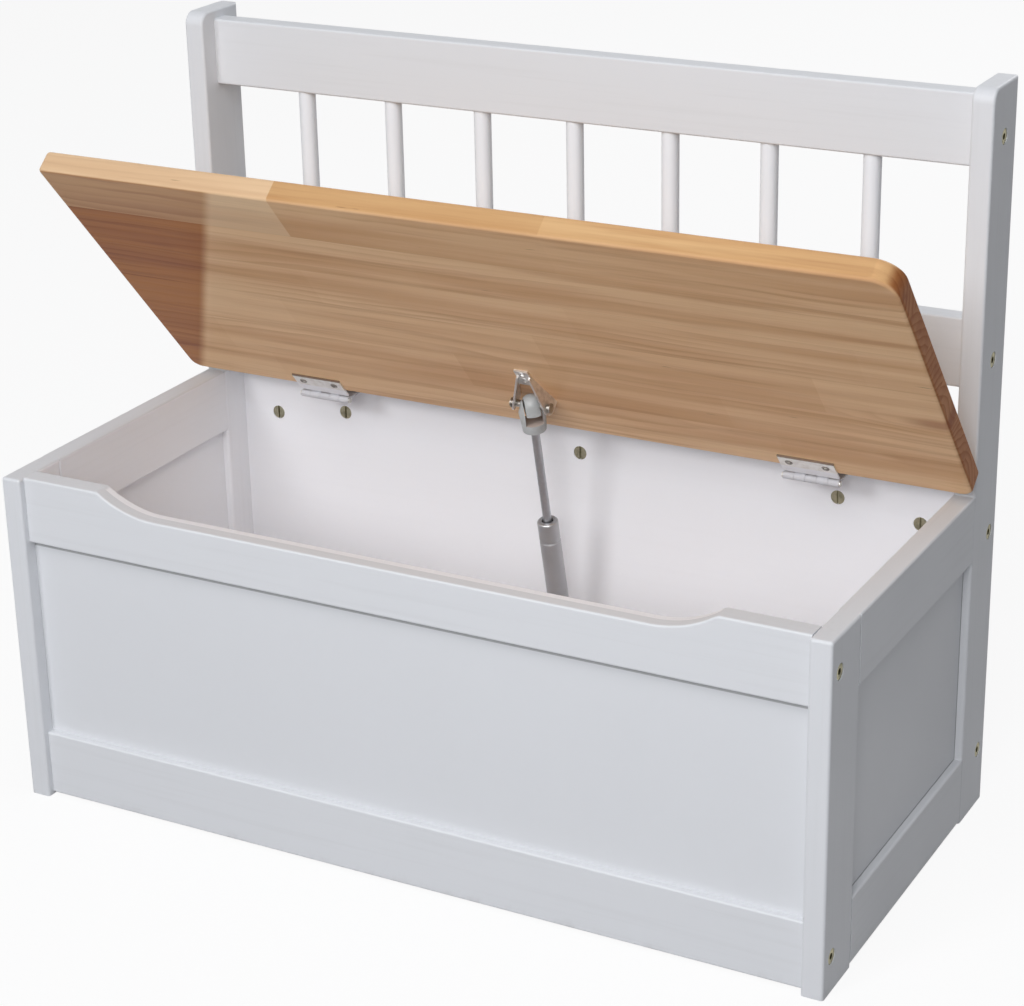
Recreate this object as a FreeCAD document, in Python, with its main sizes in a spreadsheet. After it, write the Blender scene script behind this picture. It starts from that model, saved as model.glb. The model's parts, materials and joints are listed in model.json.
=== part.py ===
import FreeCAD, Part
import os
import re
import Sketcher

# Toy storage bench: a painted chest with a slatted back rest, a pine lid that lifts on two hinges,
# and a telescopic lid stay. Millimetres, +X to the right, +Y to the back, +Z up, and the origin on
# the floor under the middle of the bench. The lid is modelled open.

doc = FreeCAD.newDocument("ToyStorageBench")
sheet = doc.addObject("Spreadsheet::Sheet", "Sizes")

SIZES = (
    # the whole bench
    ("bench_width", 600, "over the outer faces of the posts"),
    ("bench_depth", 290, "front post face to back post face"),
    ("box_height", 240, "floor to the top of the chest"),
    ("back_height", 508, "floor to the top of the tall posts"),
    ("foot_gap", 1.5, "rails above the floor, so that only the posts stand on it"),
    # posts
    ("post_thickness", 15, "post across the bench"),
    ("post_depth", 45, "post front to back"),
    ("post_edge", 2, "rounding of the posts' long edges"),
    ("post_crown", 9, "rounding of a post's front top corner"),
    ("front_crown", 2, "rounding of a front post's front top corner"),
    # rails and panels
    ("rail_thickness", 15, "all rails"),
    ("rail_height", 47, "all rails"),
    ("rail_setback", 5, "front rails and back wall behind the post faces"),
    ("rail_edge", 1.5, "rounding of the rails' long edges"),
    ("panel_thickness", 4, "front and side panels"),
    ("groove_depth", 6, "panel and floor grooves"),
    ("groove_play", 0.1, "room on each face of a panel in its groove"),
    ("groove_end", 0.6, "room beyond a panel's edge in its groove"),
    ("scoop_flat", 360, "flat run of the finger scoop"),
    ("scoop_depth", 14, "depth of the finger scoop"),
    ("scoop_radius", 79, "curve at each end of the scoop"),
    ("scoop_corner", 5, "rounding where the scoop leaves the rail's top"),
    # back wall, floor and hinge ledge
    ("wall_thickness", 15, "back wall"),
    ("floor_thickness", 4, "floor panel"),
    ("floor_level", 31.5, "underside of the floor panel"),
    ("ledge_thickness", 15, "hinge ledge"),
    ("ledge_setback", 2, "ledge behind the fronts of the tall posts"),
    # back rest
    ("top_rail_top", 501.5, "top of the back rest's top rail"),
    ("middle_rail_top", 355, "top of the back rest's middle rail"),
    ("spindle_diameter", 12, "back rest spindle"),
    ("spindle_count", 7, "back rest spindles"),
    ("tenon_diameter", 8, "spindle end in its hole"),
    ("tenon_length", 12, "spindle end in its hole"),
    ("wood_fit", 0.05, "room round a tenon, dowel, pilot or nut"),
    # connector bolts and barrel nuts
    ("bolt_diameter", 6, "connector bolt"),
    ("bolt_length", 50, "connector bolt below its head"),
    ("bolt_head", 10, "diameter of a bolt head"),
    ("bolt_head_height", 5, "height of a bolt head"),
    ("bolt_sink", 0.5, "bolt head below the surface"),
    ("bolt_play", 0.4, "room round a bolt in its hole"),
    ("hex_key", 4, "socket across its flats"),
    ("hex_depth", 2.5, "depth of the socket"),
    ("nut_diameter", 10, "barrel nut"),
    ("nut_length", 13, "barrel nut"),
    ("nut_sink", 0.5, "barrel nut below the surface"),
    ("nut_inset", 45, "barrel nut from the outer face of its post"),
    ("nut_slot", 1.4, "width of the screwdriver slot"),
    ("slot_depth", 1.6, "depth of the screwdriver slot"),
    ("back_bolt_drop", 27.5, "back rest bolt below the top of its rail"),
    ("wall_bolt_high", 204, "upper bolt of the back wall"),
    ("wall_bolt_low", 42, "lower bolt of the back wall"),
    ("ledge_bolt_length", 45, "ledge bolt below its head"),
    ("ledge_bolt_inset", 89.5, "outer ledge bolts from the ends of the ledge"),
    ("ledge_nut_drop", 27, "ledge nut below the top of the chest"),
    # dowels
    ("dowel_diameter", 6, "all dowels"),
    ("dowel_length", 30, "all dowels"),
    ("dowel_seat", 9, "dowel in a post"),
    ("dowel_end", 0.5, "room beyond a dowel's end"),
    ("rail_dowel_offset", 14, "dowel from the bolt in a rail's end"),
    ("wall_dowel_offset", 40, "dowel from the bolt in the back wall's end"),
    ("side_dowel_edge", 8.5, "outer dowel of a side rail from the rail's edge"),
    ("side_dowel_pitch", 14, "between the two dowels of a side rail"),
    # lid
    ("lid_overhang", 3.5, "lid past the outer face of a post"),
    ("lid_depth", 250, "lid front to back"),
    ("lid_thickness", 16, "lid"),
    ("lid_left_corner", 4, "rounding of the left front corner"),
    ("lid_right_corner", 18, "rounding of the right front corner"),
    ("lid_back_corner", 9, "rounding of the back corners"),
    ("lid_edge", 2.5, "rounding of the long edges"),
    ("lid_gap", 0.4, "closed lid above the rails"),
    ("lid_opening", 49.4, "lid open, in degrees"),
    # hinges
    ("hinge_forward", 9, "hinge pin in front of the tall posts"),
    ("hinge_to_lid", 8, "back edge of the closed lid in front of the hinge pin"),
    ("hinge_inset", 95, "hinge's middle from the end of the ledge"),
    ("hinge_length", 40, "hinge along its pin"),
    ("leaf_width", 22.5, "leaf from the pin's axis to its edge"),
    ("leaf_thickness", 1.2, "leaf"),
    ("leaf_root", 3.2, "plate of a leaf from the pin's axis"),
    ("knuckle_count", 5, "knuckles along a hinge"),
    ("knuckle_diameter", 5, "knuckle"),
    ("knuckle_play", 0.1, "room at each end of a knuckle"),
    ("hinge_pin_diameter", 2.6, "hinge pin"),
    ("hinge_pin_head", 4, "rounded head at each end of the pin"),
    ("pin_head_height", 0.8, "hinge pin head"),
    ("running_fit", 0.05, "room round a turning pin"),
    ("leaf_screw_spread", 26, "between the two screws of a leaf"),
    ("lid_leaf_screw", 15.5, "lid leaf's screws from the pin's axis"),
    ("ledge_leaf_screw", 17, "ledge leaf's screws from the pin's axis"),
    ("screw_diameter", 3, "wood screw"),
    ("screw_head", 5.6, "countersunk head"),
    ("screw_length", 11, "wood screw below its head"),
    # lid stay
    ("stay_reach", 51, "stay pin in front of the hinge pin, along the lid"),
    ("stay_drop", 8.5, "stay pin below the lid's underside"),
    ("stay_foot_forward", 22, "lower stay pin in front of the back wall"),
    ("stay_foot_height", 50, "lower stay pin above the floor"),
    ("stay_pin_diameter", 5, "both stay pins"),
    ("stay_pin_head", 7, "head at each end of a stay pin"),
    ("stay_pin_head_height", 0.8, "head of a stay pin"),
    ("head_diameter", 19, "plastic end heads"),
    ("head_drop", 19, "upper head below its pin"),
    ("head_dome", 8, "upper head round its pin"),
    ("head_lip", 1, "chamfer of the heads"),
    ("window_width", 10, "window in the upper head"),
    ("window_height", 6.5, "window in the upper head"),
    ("window_drop", 5, "window below the upper pin"),
    ("window_turn", 37, "window turned to the right about the stay, in degrees"),
    ("rod_seat", 6, "rod in the upper head"),
    ("rod_diameter", 6, "stay rod"),
    ("stay_exposed", 75.5, "rod in view with the lid open"),
    ("tube_diameter", 15, "stay cylinder"),
    ("tube_wall", 1.2, "stay cylinder"),
    ("tube_lip", 1.5, "rolled top edge of the cylinder"),
    ("bead_drop", 16, "rolled groove below the cylinder's top"),
    ("bead_depth", 0.6, "rolled groove"),
    ("bead_width", 2.4, "rolled groove"),
    ("guide_length", 11, "rod guide in the cylinder"),
    ("piston_length", 10, "piston on the rod"),
    ("piston_gap", 2, "piston below the guide with the lid open"),
    ("piston_fit", 0.1, "room round the piston"),
    ("tube_seat", 14, "cylinder's lower end above the lower pin"),
    ("foot_head_top", 23, "lower head above the lower pin"),
    ("foot_eye", 13, "eye of the lower head, wide enough for its pin to shift"),
    # stay brackets
    ("bracket_sheet", 1.5, "sheet of both brackets"),
    ("bracket_front", 83, "front of the lid bracket from the hinge pin"),
    ("ear_front", 76, "front of its ears from the hinge pin"),
    ("bracket_fork", 66, "back of the plate between its ears from the hinge pin"),
    ("ear_front_half", 3.7, "half the room between the ears at their front"),
    ("ear_back_half", 13.4, "half the room between the ears at their back"),
    ("ear_below_pin", 5, "ear round its pin"),
    ("ear_front_height", 3, "ear at its front"),
    ("bracket_screw", 79.5, "front screw of the lid bracket from the hinge pin"),
    ("bracket_screw_pitch", 7.5, "between the lid bracket's screws"),
    ("wall_ear_gap", 0.9, "room between the lower head and each ear"),
    ("wall_ear_radius", 8, "ear round the lower pin"),
    ("wall_plate_up", 32, "wall bracket's plate above the lower pin"),
    ("wall_screw_first", 15, "first wall screw above the lower pin"),
    ("wall_screw_pitch", 10, "between the wall screws"),
)

for row, (alias, number, note) in enumerate(SIZES, start=1):
    sheet.set("A%d" % row, alias)
    sheet.set("B%d" % row, str(number))
    sheet.setAlias("B%d" % row, alias)
    sheet.set("C%d" % row, note)
doc.recompute()

ALIASES = re.compile(r"\b(" + "|".join(alias for alias, number, note in SIZES) + r")\b")
SIDES = (("left", -1), ("right", 1))
TINY = 1e-6
NEARBY = 0.1
parts = []


# Formulas and the few ways a piece is made

def formula(text):
    """A formula with each size's bare name pointing at its cell."""
    return ALIASES.sub(r"Sizes.\1", str(text))


def bind(piece, target, text):
    """Tie one property of a piece to a formula."""
    piece.setExpression(target, formula(text))


def value(text):
    """The present value of a formula."""
    number = sheet.evalExpression(formula(text))
    return float(getattr(number, "Value", number))


def keep(piece, label):
    """Name a finished piece and put it on the list of pieces to write."""
    piece.Label = label
    parts.append(piece)
    return piece


def place(piece, x, y, z):
    """Tie a piece's position to three formulas."""
    for letter, text in zip("xyz", (x, y, z)):
        bind(piece, ".Placement.Base." + letter, text)
    return piece


def tilt(piece, angle, axis=FreeCAD.Vector(1, 0, 0)):
    """Turn a piece about X, or the axis that is given, with the angle tied to a formula."""
    piece.Placement = FreeCAD.Placement(FreeCAD.Vector(), FreeCAD.Rotation(axis, 1))
    bind(piece, ".Placement.Rotation.Angle", angle)
    return piece


def block(name, low, size):
    """A squared piece, from its low corner and its three sizes."""
    piece = doc.addObject("Part::Box", name)
    for target, text in zip(("Length", "Width", "Height"), size):
        bind(piece, target, text)
    return place(piece, *low)


TURN = {
    "X": FreeCAD.Rotation(FreeCAD.Vector(0, 1, 0), 90),
    "Y": FreeCAD.Rotation(FreeCAD.Vector(1, 0, 0), -90),
    "Z": FreeCAD.Rotation(),
}


def bar(name, axis, low, radius, length):
    """A round piece along one axis, from the middle of its low end."""
    piece = doc.addObject("Part::Cylinder", name)
    piece.Placement = FreeCAD.Placement(FreeCAD.Vector(), TURN[axis])
    bind(piece, "Radius", radius)
    bind(piece, "Height", length)
    return place(piece, *low)


def join(name, pieces):
    """Several shapes made one."""
    whole = doc.addObject("Part::MultiFuse", name)
    whole.Shapes = pieces
    return whole


def group(label, pieces):
    """Like pieces kept in one file as separate solids."""
    whole = doc.addObject("Part::Compound", label)
    whole.Links = pieces
    return keep(whole, label)


def cut(name, base, tools):
    """A piece less everything that is drilled or grooved out of it."""
    piece = doc.addObject("Part::Cut", name)
    piece.Base = base
    piece.Tool = tools[0] if len(tools) == 1 else join(name + "_cuts", tools)
    return piece


def direction(edge):
    """The axis that a straight edge runs along, or None."""
    ends = [vertex.Point for vertex in edge.Vertexes]
    if len(ends) < 2:
        return None
    run = ends[1] - ends[0]
    for letter, part in zip("XYZ", run):
        if abs(abs(part) - run.Length) < TINY:
            return letter
    return None


def ease(name, base, radius, axes):
    """Round the edges of a squared piece that run along the given axes."""
    base.recompute(True)
    piece = doc.addObject("Part::Fillet", name)
    piece.Base = base
    size = value(radius)
    numbers = [n for n, edge in enumerate(base.Shape.Edges, start=1) if direction(edge) in axes]
    piece.Edges = [(n, size, size) for n in numbers]
    return piece


def outline(body, name, plane, points, arcs=()):
    """A closed sketch through points given as formulas. arcs maps a point's number to the radius
    of the arc that starts there, positive where the arc turns left."""
    arcs = dict(arcs)
    sketch = body.newObject("Sketcher::SketchObject", name)
    support = [origin for origin in body.Origin.OriginFeatures if origin.Role == plane + "_Plane"]
    sketch.AttachmentSupport = [(support[0], "")]
    sketch.MapMode = "FlatFace"
    spots = [FreeCAD.Vector(value(across), value(up), 0) for across, up in points]
    count = len(spots)
    starts = []
    ends = []
    for i, spot in enumerate(spots):
        following = spots[(i + 1) % count]
        if i in arcs:
            radius = value(arcs[i])
            chord = following - spot
            left = FreeCAD.Vector(-chord.y, chord.x, 0).normalize()
            rise = (radius ** 2 - (chord.Length / 2) ** 2) ** 0.5
            middle = (spot + following) * 0.5 + left * (rise if radius > 0 else -rise)
            bulge = middle - left * radius
            sketch.addGeometry(Part.Arc(spot, bulge, following), False)
            sketch.addConstraint(Sketcher.Constraint("Radius", i, abs(radius)))
            bind(sketch, "Constraints[%d]" % (sketch.ConstraintCount - 1), "abs(%s)" % arcs[i])
            starts.append(1 if radius > 0 else 2)
            ends.append(2 if radius > 0 else 1)
        else:
            sketch.addGeometry(Part.LineSegment(spot, following), False)
            starts.append(1)
            ends.append(2)
    for i in range(count):
        after = (i + 1) % count
        sketch.addConstraint(Sketcher.Constraint("Coincident", i, ends[i], after, starts[after]))
    for i, (across, up) in enumerate(points):
        for kind, text, number in (("DistanceX", across, spots[i].x), ("DistanceY", up, spots[i].y)):
            sketch.addConstraint(Sketcher.Constraint(kind, -1, 1, i, starts[i], number))
            bind(sketch, "Constraints[%d]" % (sketch.ConstraintCount - 1), text)
    return sketch


def slab(name, plane, points, thickness, arcs=()):
    """A flat piece of the given outline, standing on its plane on the positive side."""
    body = doc.addObject("PartDesign::Body", name)
    pad = body.newObject("PartDesign::Pad", name + "_pad")
    pad.Profile = outline(body, name + "_outline", plane, points, arcs)
    bind(pad, "Length", thickness)
    pad.Reversed = plane == "XZ"
    body.Tip = pad
    return body


def turned(name, points, arcs=()):
    """A round piece turned about Z from its half outline, given as radius and height."""
    body = doc.addObject("PartDesign::Body", name)
    profile = outline(body, name + "_outline", "XZ", points, arcs)
    turn = body.newObject("PartDesign::Revolution", name + "_turn")
    turn.Profile = profile
    turn.ReferenceAxis = (profile, ["V_Axis"])
    turn.Angle = 360
    body.Tip = turn
    return body


def soften(body, name, radius, chosen):
    """Round the chosen edges of a body."""
    body.recompute(True)
    base = body.Tip
    numbers = [n for n, edge in enumerate(base.Shape.Edges, start=1) if chosen(edge)]
    fillet = body.newObject("PartDesign::Fillet", name)
    fillet.Base = (base, ["Edge%d" % n for n in numbers])
    bind(fillet, "Radius", radius)
    body.Tip = fillet
    return body


def low_x(side, inner, outer):
    """Low end in X of a span given on the right, or mirrored to the left."""
    return inner if side > 0 else "-(%s)" % outer


# Places that several pieces share

post_inner = "(bench_width/2 - post_thickness)"
front = "(-bench_depth/2)"
front_post_back = "(-bench_depth/2 + post_depth)"
back_post_front = "(bench_depth/2 - post_depth)"
front_rail_face = "(-bench_depth/2 + rail_setback)"
front_rail_middle = "(-bench_depth/2 + rail_setback + rail_thickness/2)"
front_rail_back = "(-bench_depth/2 + rail_setback + rail_thickness)"
wall_face = "(bench_depth/2 - rail_setback - wall_thickness)"
wall_middle = "(bench_depth/2 - rail_setback - wall_thickness/2)"
rest_face = "(bench_depth/2 - post_depth/2 - rail_thickness/2)"
rest_middle = "(bench_depth/2 - post_depth/2)"
side_middle = "(bench_width/2 - post_thickness/2)"
top_rail_low = "(box_height - rail_height)"
low_rail_top = "(foot_gap + rail_height)"
top_rail_bolt = "(box_height - rail_height/2)"
low_rail_bolt = "(foot_gap + rail_height/2)"
groove_width = "(panel_thickness + 2*groove_play)"
floor_groove = "(floor_thickness + 2*groove_play)"
panel_low = "(foot_gap + rail_height - groove_depth)"
panel_span = "(box_height - foot_gap - 2*rail_height + 2*groove_depth)"

hinge_y = "(bench_depth/2 - post_depth - hinge_forward)"
hinge_z = "(box_height - knuckle_diameter/2)"
lid_under = "(knuckle_diameter/2 + lid_gap)"
stay_pin_z = "(knuckle_diameter/2 + lid_gap - stay_drop)"
foot_y = "(bench_depth/2 - rail_setback - wall_thickness - stay_foot_forward)"
foot_z = "stay_foot_height"
pin_y = "(%s - stay_reach*cos(lid_opening) + %s*sin(lid_opening))" % (hinge_y, stay_pin_z)
pin_z = "(%s + stay_reach*sin(lid_opening) + %s*cos(lid_opening))" % (hinge_z, stay_pin_z)
stay_lean = "(%s - %s)" % (foot_y, pin_y)
stay_rise = "(%s - %s)" % (pin_z, foot_z)
stay_length = "sqrt(%s^2 + %s^2)" % (stay_lean, stay_rise)
stay_angle = "atan2(%s; %s)" % (stay_lean, stay_rise)

top_rest_bolt = "(top_rail_top - back_bolt_drop)"
middle_rest_bolt = "(middle_rail_top - back_bolt_drop)"

# End joints of the cross pieces: middle in Y, board thickness, bolt height, dowel height, and the
# face that the barrel nut is put in from, 1 for the back and -1 for the front
END_JOINTS = {
    "front_top_rail": (
        (front_rail_middle, "rail_thickness", top_rail_bolt, top_rail_bolt + " + rail_dowel_offset", 1),
    ),
    "front_bottom_rail": (
        (front_rail_middle, "rail_thickness", low_rail_bolt, low_rail_bolt + " - rail_dowel_offset", 1),
    ),
    "back_wall": (
        (wall_middle, "wall_thickness", "wall_bolt_high", "wall_bolt_high - wall_dowel_offset", -1),
        (wall_middle, "wall_thickness", "wall_bolt_low", "wall_bolt_low + wall_dowel_offset", -1),
    ),
    "backrest_top_rail": (
        (rest_middle, "rail_thickness", top_rest_bolt, top_rest_bolt + " + rail_dowel_offset", 1),
    ),
    "backrest_middle_rail": (
        (rest_middle, "rail_thickness", middle_rest_bolt, middle_rest_bolt + " + rail_dowel_offset", 1),
    ),
}
FRONT_PIECES = ("front_top_rail", "front_bottom_rail")
BACK_PIECES = ("back_wall", "backrest_top_rail", "backrest_middle_rail")


def joints_of(names):
    """The end joints of the named cross pieces, in order."""
    return [joint for name in names for joint in END_JOINTS[name]]


def end_holes(name, joint, side):
    """Holes in the end of a cross piece: bolt, barrel nut and dowel."""
    y, thickness, bolt_z, dowel_z, opens = joint
    bolt_end = "(bench_width/2 - bolt_sink - bolt_head_height - bolt_length - dowel_end)"
    bolt_hole = bar(name + "_bolt", "X", (low_x(side, bolt_end, post_inner), y, bolt_z),
                    "bolt_diameter/2 + bolt_play", "%s - %s" % (post_inner, bolt_end))
    nut_x = "%d*(bench_width/2 - nut_inset)" % side
    nut_hole = bar(name + "_nut", "Y", (nut_x, nut_low(y, thickness, opens), bolt_z),
                   "nut_diameter/2 + wood_fit", "nut_length + nut_sink + dowel_end")
    dowel_low = "(%s - dowel_length + dowel_seat - dowel_end)" % post_inner
    dowel_hole = bar(name + "_dowel", "X", (low_x(side, dowel_low, post_inner), y, dowel_z),
                     "dowel_diameter/2 + wood_fit", "dowel_length - dowel_seat + dowel_end")
    return [bolt_hole, nut_hole, dowel_hole]


def nut_low(y, thickness, opens):
    """Low end in Y of a barrel nut's hole in a board that is centred on y."""
    if opens < 0:
        return "%s - %s/2" % (y, thickness)
    return "%s + %s/2 - nut_length - nut_sink - dowel_end" % (y, thickness)


def post_holes(name, joint, side):
    """Holes across a post for one end joint: bolt, counterbore and dowel."""
    y, thickness, bolt_z, dowel_z, opens = joint
    bolt_hole = bar(name + "_bolt", "X", (low_x(side, post_inner, "bench_width/2"), y, bolt_z),
                    "bolt_diameter/2 + bolt_play", "post_thickness")
    seat = "(bench_width/2 - bolt_sink - bolt_head_height)"
    counterbore = bar(name + "_seat", "X", (low_x(side, seat, "bench_width/2"), y, bolt_z),
                      "bolt_head/2 + bolt_play", "bolt_sink + bolt_head_height")
    dowel_hole = bar(name + "_dowel", "X",
                     (low_x(side, post_inner, post_inner + " + dowel_seat + dowel_end"), y, dowel_z),
                     "dowel_diameter/2 + wood_fit", "dowel_seat + dowel_end")
    return [bolt_hole, counterbore, dowel_hole]


SIDE_DOWELS = (
    "foot_gap + side_dowel_edge",
    "foot_gap + side_dowel_edge + side_dowel_pitch",
    "box_height - side_dowel_edge",
    "box_height - side_dowel_edge - side_dowel_pitch",
)


# Posts: planed pine, glued into the side frames, drilled across for the connector bolts

def post(name, side, near, height, crown, joints, is_front):
    """One corner post with its rounded top, grooves, bolt holes and dowel holes."""
    points = (
        (near, "0"),
        (near + " + post_depth", "0"),
        (near + " + post_depth", height),
        (near + " + " + crown, height),
        (near, height + " - " + crown),
    )
    body = slab(name + "_blank", "YZ", points, "post_thickness", {3: crown})
    place(body, low_x(side, post_inner, "bench_width/2"), "0", "0")
    soften(body, name + "_edges", "post_edge", lambda edge: direction(edge) == "Z")
    tools = []
    for n, joint in enumerate(joints):
        tools += post_holes("%s_hole%d" % (name, n), joint, side)
    rail_face = front_post_back if is_front else back_post_front
    dowel_low = rail_face + (" - dowel_seat - dowel_end" if is_front else "")
    for n, z in enumerate(SIDE_DOWELS):
        tools.append(bar("%s_side_dowel%d" % (name, n), "Y", ("%d*%s" % (side, side_middle), dowel_low, z),
                         "dowel_diameter/2 + wood_fit", "dowel_seat + dowel_end"))
    panel_x = side_middle + " - panel_thickness/2 - groove_play"
    tools.append(block(name + "_panel_groove",
                       (low_x(side, panel_x, side_middle + " + panel_thickness/2 + groove_play"),
                        rail_face + (" - groove_depth" if is_front else ""), panel_low),
                       (groove_width, "groove_depth", panel_span)))
    floor_y = front_rail_back + " - groove_depth" if is_front else back_post_front
    floor_run = "(post_depth - rail_setback - rail_thickness + groove_depth)"
    tools.append(block(name + "_floor_groove",
                       (low_x(side, post_inner, post_inner + " + groove_depth"), floor_y,
                        "floor_level - groove_play"),
                       ("groove_depth", floor_run, floor_groove)))
    if is_front:
        tools.append(block(name + "_front_groove",
                           (low_x(side, post_inner, post_inner + " + groove_depth"),
                            front_rail_middle + " - panel_thickness/2 - groove_play", panel_low),
                           ("groove_depth", groove_width, panel_span)))
    return keep(cut(name, body, tools), name)


for hand, side in SIDES:
    post("front_post_" + hand, side, front, "box_height", "front_crown", joints_of(FRONT_PIECES), True)
    post("back_post_" + hand, side, back_post_front, "back_height", "post_crown", joints_of(BACK_PIECES),
         False)


# Side frames: two rails dowelled and glued between the posts, with a thin panel in their grooves

def side_rail(name, side, low, heights, groove_z, has_floor):
    """One side rail with the panel groove, and the floor groove in the lower one."""
    blank = block(name + "_blank", (low_x(side, post_inner, "bench_width/2"), front_post_back, low),
                  ("post_thickness", "bench_depth - 2*post_depth", "rail_height"))
    rounded = ease(name + "_rounded", blank, "rail_edge", "Y")
    panel_x = side_middle + " - panel_thickness/2 - groove_play"
    groove_x = low_x(side, panel_x, side_middle + " + panel_thickness/2 + groove_play")
    tools = [block(name + "_groove", (groove_x, front_post_back, groove_z),
                   (groove_width, "bench_depth - 2*post_depth", "groove_depth"))]
    seat = "(dowel_length - dowel_seat + dowel_end)"
    for n, z in enumerate(heights):
        for end, y in (("front", front_post_back), ("back", "%s - %s" % (back_post_front, seat))):
            tools.append(bar("%s_%s_dowel%d" % (name, end, n), "Y", ("%d*%s" % (side, side_middle), y, z),
                             "dowel_diameter/2 + wood_fit", seat))
    if has_floor:
        floor_x = low_x(side, post_inner, post_inner + " + groove_depth")
        tools.append(block(name + "_floor_groove", (floor_x, front_post_back, "floor_level - groove_play"),
                           ("groove_depth", "bench_depth - 2*post_depth", floor_groove)))
    return keep(cut(name, rounded, tools), name)


for hand, side in SIDES:
    side_rail("side_top_rail_" + hand, side, top_rail_low, SIDE_DOWELS[2:], top_rail_low, False)
    side_rail("side_bottom_rail_" + hand, side, "foot_gap", SIDE_DOWELS[:2], panel_low, True)
    panel = block("side_panel_" + hand,
                  (low_x(side, side_middle + " - panel_thickness/2", side_middle + " + panel_thickness/2"),
                   front_post_back + " - groove_depth + groove_end", panel_low + " + groove_end"),
                  ("panel_thickness", "bench_depth - 2*post_depth + 2*groove_depth - 2*groove_end",
                   panel_span + " - 2*groove_end"))
    keep(panel, "side_panel_" + hand)
    dowels = []
    dowel_starts = (front_post_back + " - dowel_seat", back_post_front + " - dowel_length + dowel_seat")
    for n, z in enumerate(SIDE_DOWELS):
        for end, y in zip(("front", "back"), dowel_starts):
            dowels.append(bar("side_dowel_%s_%s%d" % (hand, end, n), "Y",
                              ("%d*%s" % (side, side_middle), y, z), "dowel_diameter/2", "dowel_length"))
    group("side_dowels_" + hand, dowels)


# Cross pieces: each is bolted between the side frames, with a dowel beside every bolt

def finish_cross_piece(name, blank, tools):
    """Drill both ends of a cross piece and keep it."""
    for hand, side in SIDES:
        for n, joint in enumerate(END_JOINTS[name]):
            tools += end_holes("%s_%s%d" % (name, hand, n), joint, side)
    return keep(cut(name, blank, tools), name)


clear_width = "(bench_width - 2*post_thickness)"
scoop_half = "(scoop_flat/2 + sqrt(2*scoop_radius*scoop_depth - scoop_depth^2))"
scoop_z = "(rail_height - scoop_depth)"

scooped = slab(
    "front_top_rail_blank", "XZ",
    (
        ("-%s/2" % clear_width, "0"),
        ("%s/2" % clear_width, "0"),
        ("%s/2" % clear_width, "rail_height"),
        (scoop_half, "rail_height"),
        ("scoop_flat/2", scoop_z),
        ("-scoop_flat/2", scoop_z),
        ("-" + scoop_half, "rail_height"),
        ("-%s/2" % clear_width, "rail_height"),
    ),
    "rail_thickness", {3: "-scoop_radius", 5: "-scoop_radius"})
place(scooped, "0", front_rail_face, top_rail_low)
corner_x = value(scoop_half)


def at_scoop_corner(edge):
    """Whether an edge crosses the rail's thickness where the scoop starts."""
    return direction(edge) == "Y" and abs(abs(edge.CenterOfMass.x) - corner_x) < NEARBY


def on_long_edge(edge):
    """Whether an edge runs along a face of the scooped rail."""
    return edge.BoundBox.YLength < TINY and edge.BoundBox.XLength > NEARBY


soften(scooped, "front_top_rail_corners", "scoop_corner", at_scoop_corner)
soften(scooped, "front_top_rail_edges", "rail_edge", on_long_edge)
panel_y = front_rail_middle + " - panel_thickness/2"
top_groove = block("front_top_rail_groove", ("-%s/2" % clear_width, panel_y + " - groove_play", top_rail_low),
                   (clear_width, groove_width, "groove_depth"))
finish_cross_piece("front_top_rail", scooped, [top_groove])

low_blank = block("front_bottom_rail_blank", ("-%s/2" % clear_width, front_rail_face, "foot_gap"),
                  (clear_width, "rail_thickness", "rail_height"))
low_groove = block("front_bottom_rail_groove", ("-%s/2" % clear_width, panel_y + " - groove_play", panel_low),
                   (clear_width, groove_width, "groove_depth"))
front_floor = block("front_bottom_rail_floor",
                    ("-%s/2" % clear_width, front_rail_back + " - groove_depth", "floor_level - groove_play"),
                    (clear_width, "groove_depth", floor_groove))
finish_cross_piece("front_bottom_rail", ease("front_bottom_rail_rounded", low_blank, "rail_edge", "X"),
                   [low_groove, front_floor])

front_panel = block("front_panel",
                    ("-%s/2 - groove_depth + groove_end" % clear_width, panel_y, panel_low + " + groove_end"),
                    (clear_width + " + 2*groove_depth - 2*groove_end", "panel_thickness",
                     panel_span + " - 2*groove_end"))
keep(front_panel, "front_panel")

ledge_bolt_x = "(%s - ledge_bolt_inset)" % post_inner
LEDGE_BOLTS = (("left", "-" + ledge_bolt_x), ("middle", "0"), ("right", ledge_bolt_x))
ledge_nut_z = "(box_height - ledge_nut_drop)"
ledge_bolt_low = "(box_height + ledge_thickness - bolt_sink - bolt_head_height - ledge_bolt_length)"

wall_blank = block("back_wall_blank", ("-%s/2" % clear_width, wall_face, "foot_gap"),
                   (clear_width, "wall_thickness", "box_height - foot_gap"))
wall_tools = [block("back_wall_floor", ("-%s/2" % clear_width, wall_face, "floor_level - groove_play"),
                    (clear_width, "groove_depth", floor_groove))]
for spot, x in LEDGE_BOLTS:
    wall_tools.append(bar("back_wall_ledge_bolt_" + spot, "Z",
                          (x, wall_middle, ledge_bolt_low + " - dowel_end"),
                          "bolt_diameter/2 + bolt_play", "box_height - %s + dowel_end" % ledge_bolt_low))
    nut_hole_y = nut_low(wall_middle, "wall_thickness", -1)
    wall_tools.append(bar("back_wall_ledge_nut_" + spot, "Y", (x, nut_hole_y, ledge_nut_z),
                          "nut_diameter/2 + wood_fit", "nut_length + nut_sink + dowel_end"))
WALL_SCREWS = range(2)
for n in WALL_SCREWS:
    wall_tools.append(bar("back_wall_stay_screw%d" % n, "Y",
                          ("0", wall_face, "%s + wall_screw_first + %d*wall_screw_pitch" % (foot_z, n)),
                          "screw_diameter/2 + wood_fit", "screw_length + dowel_end"))
finish_cross_piece("back_wall", ease("back_wall_rounded", wall_blank, "rail_edge", "X"), wall_tools)

spindle_pitch = "(%s/(spindle_count + 1))" % clear_width


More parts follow.
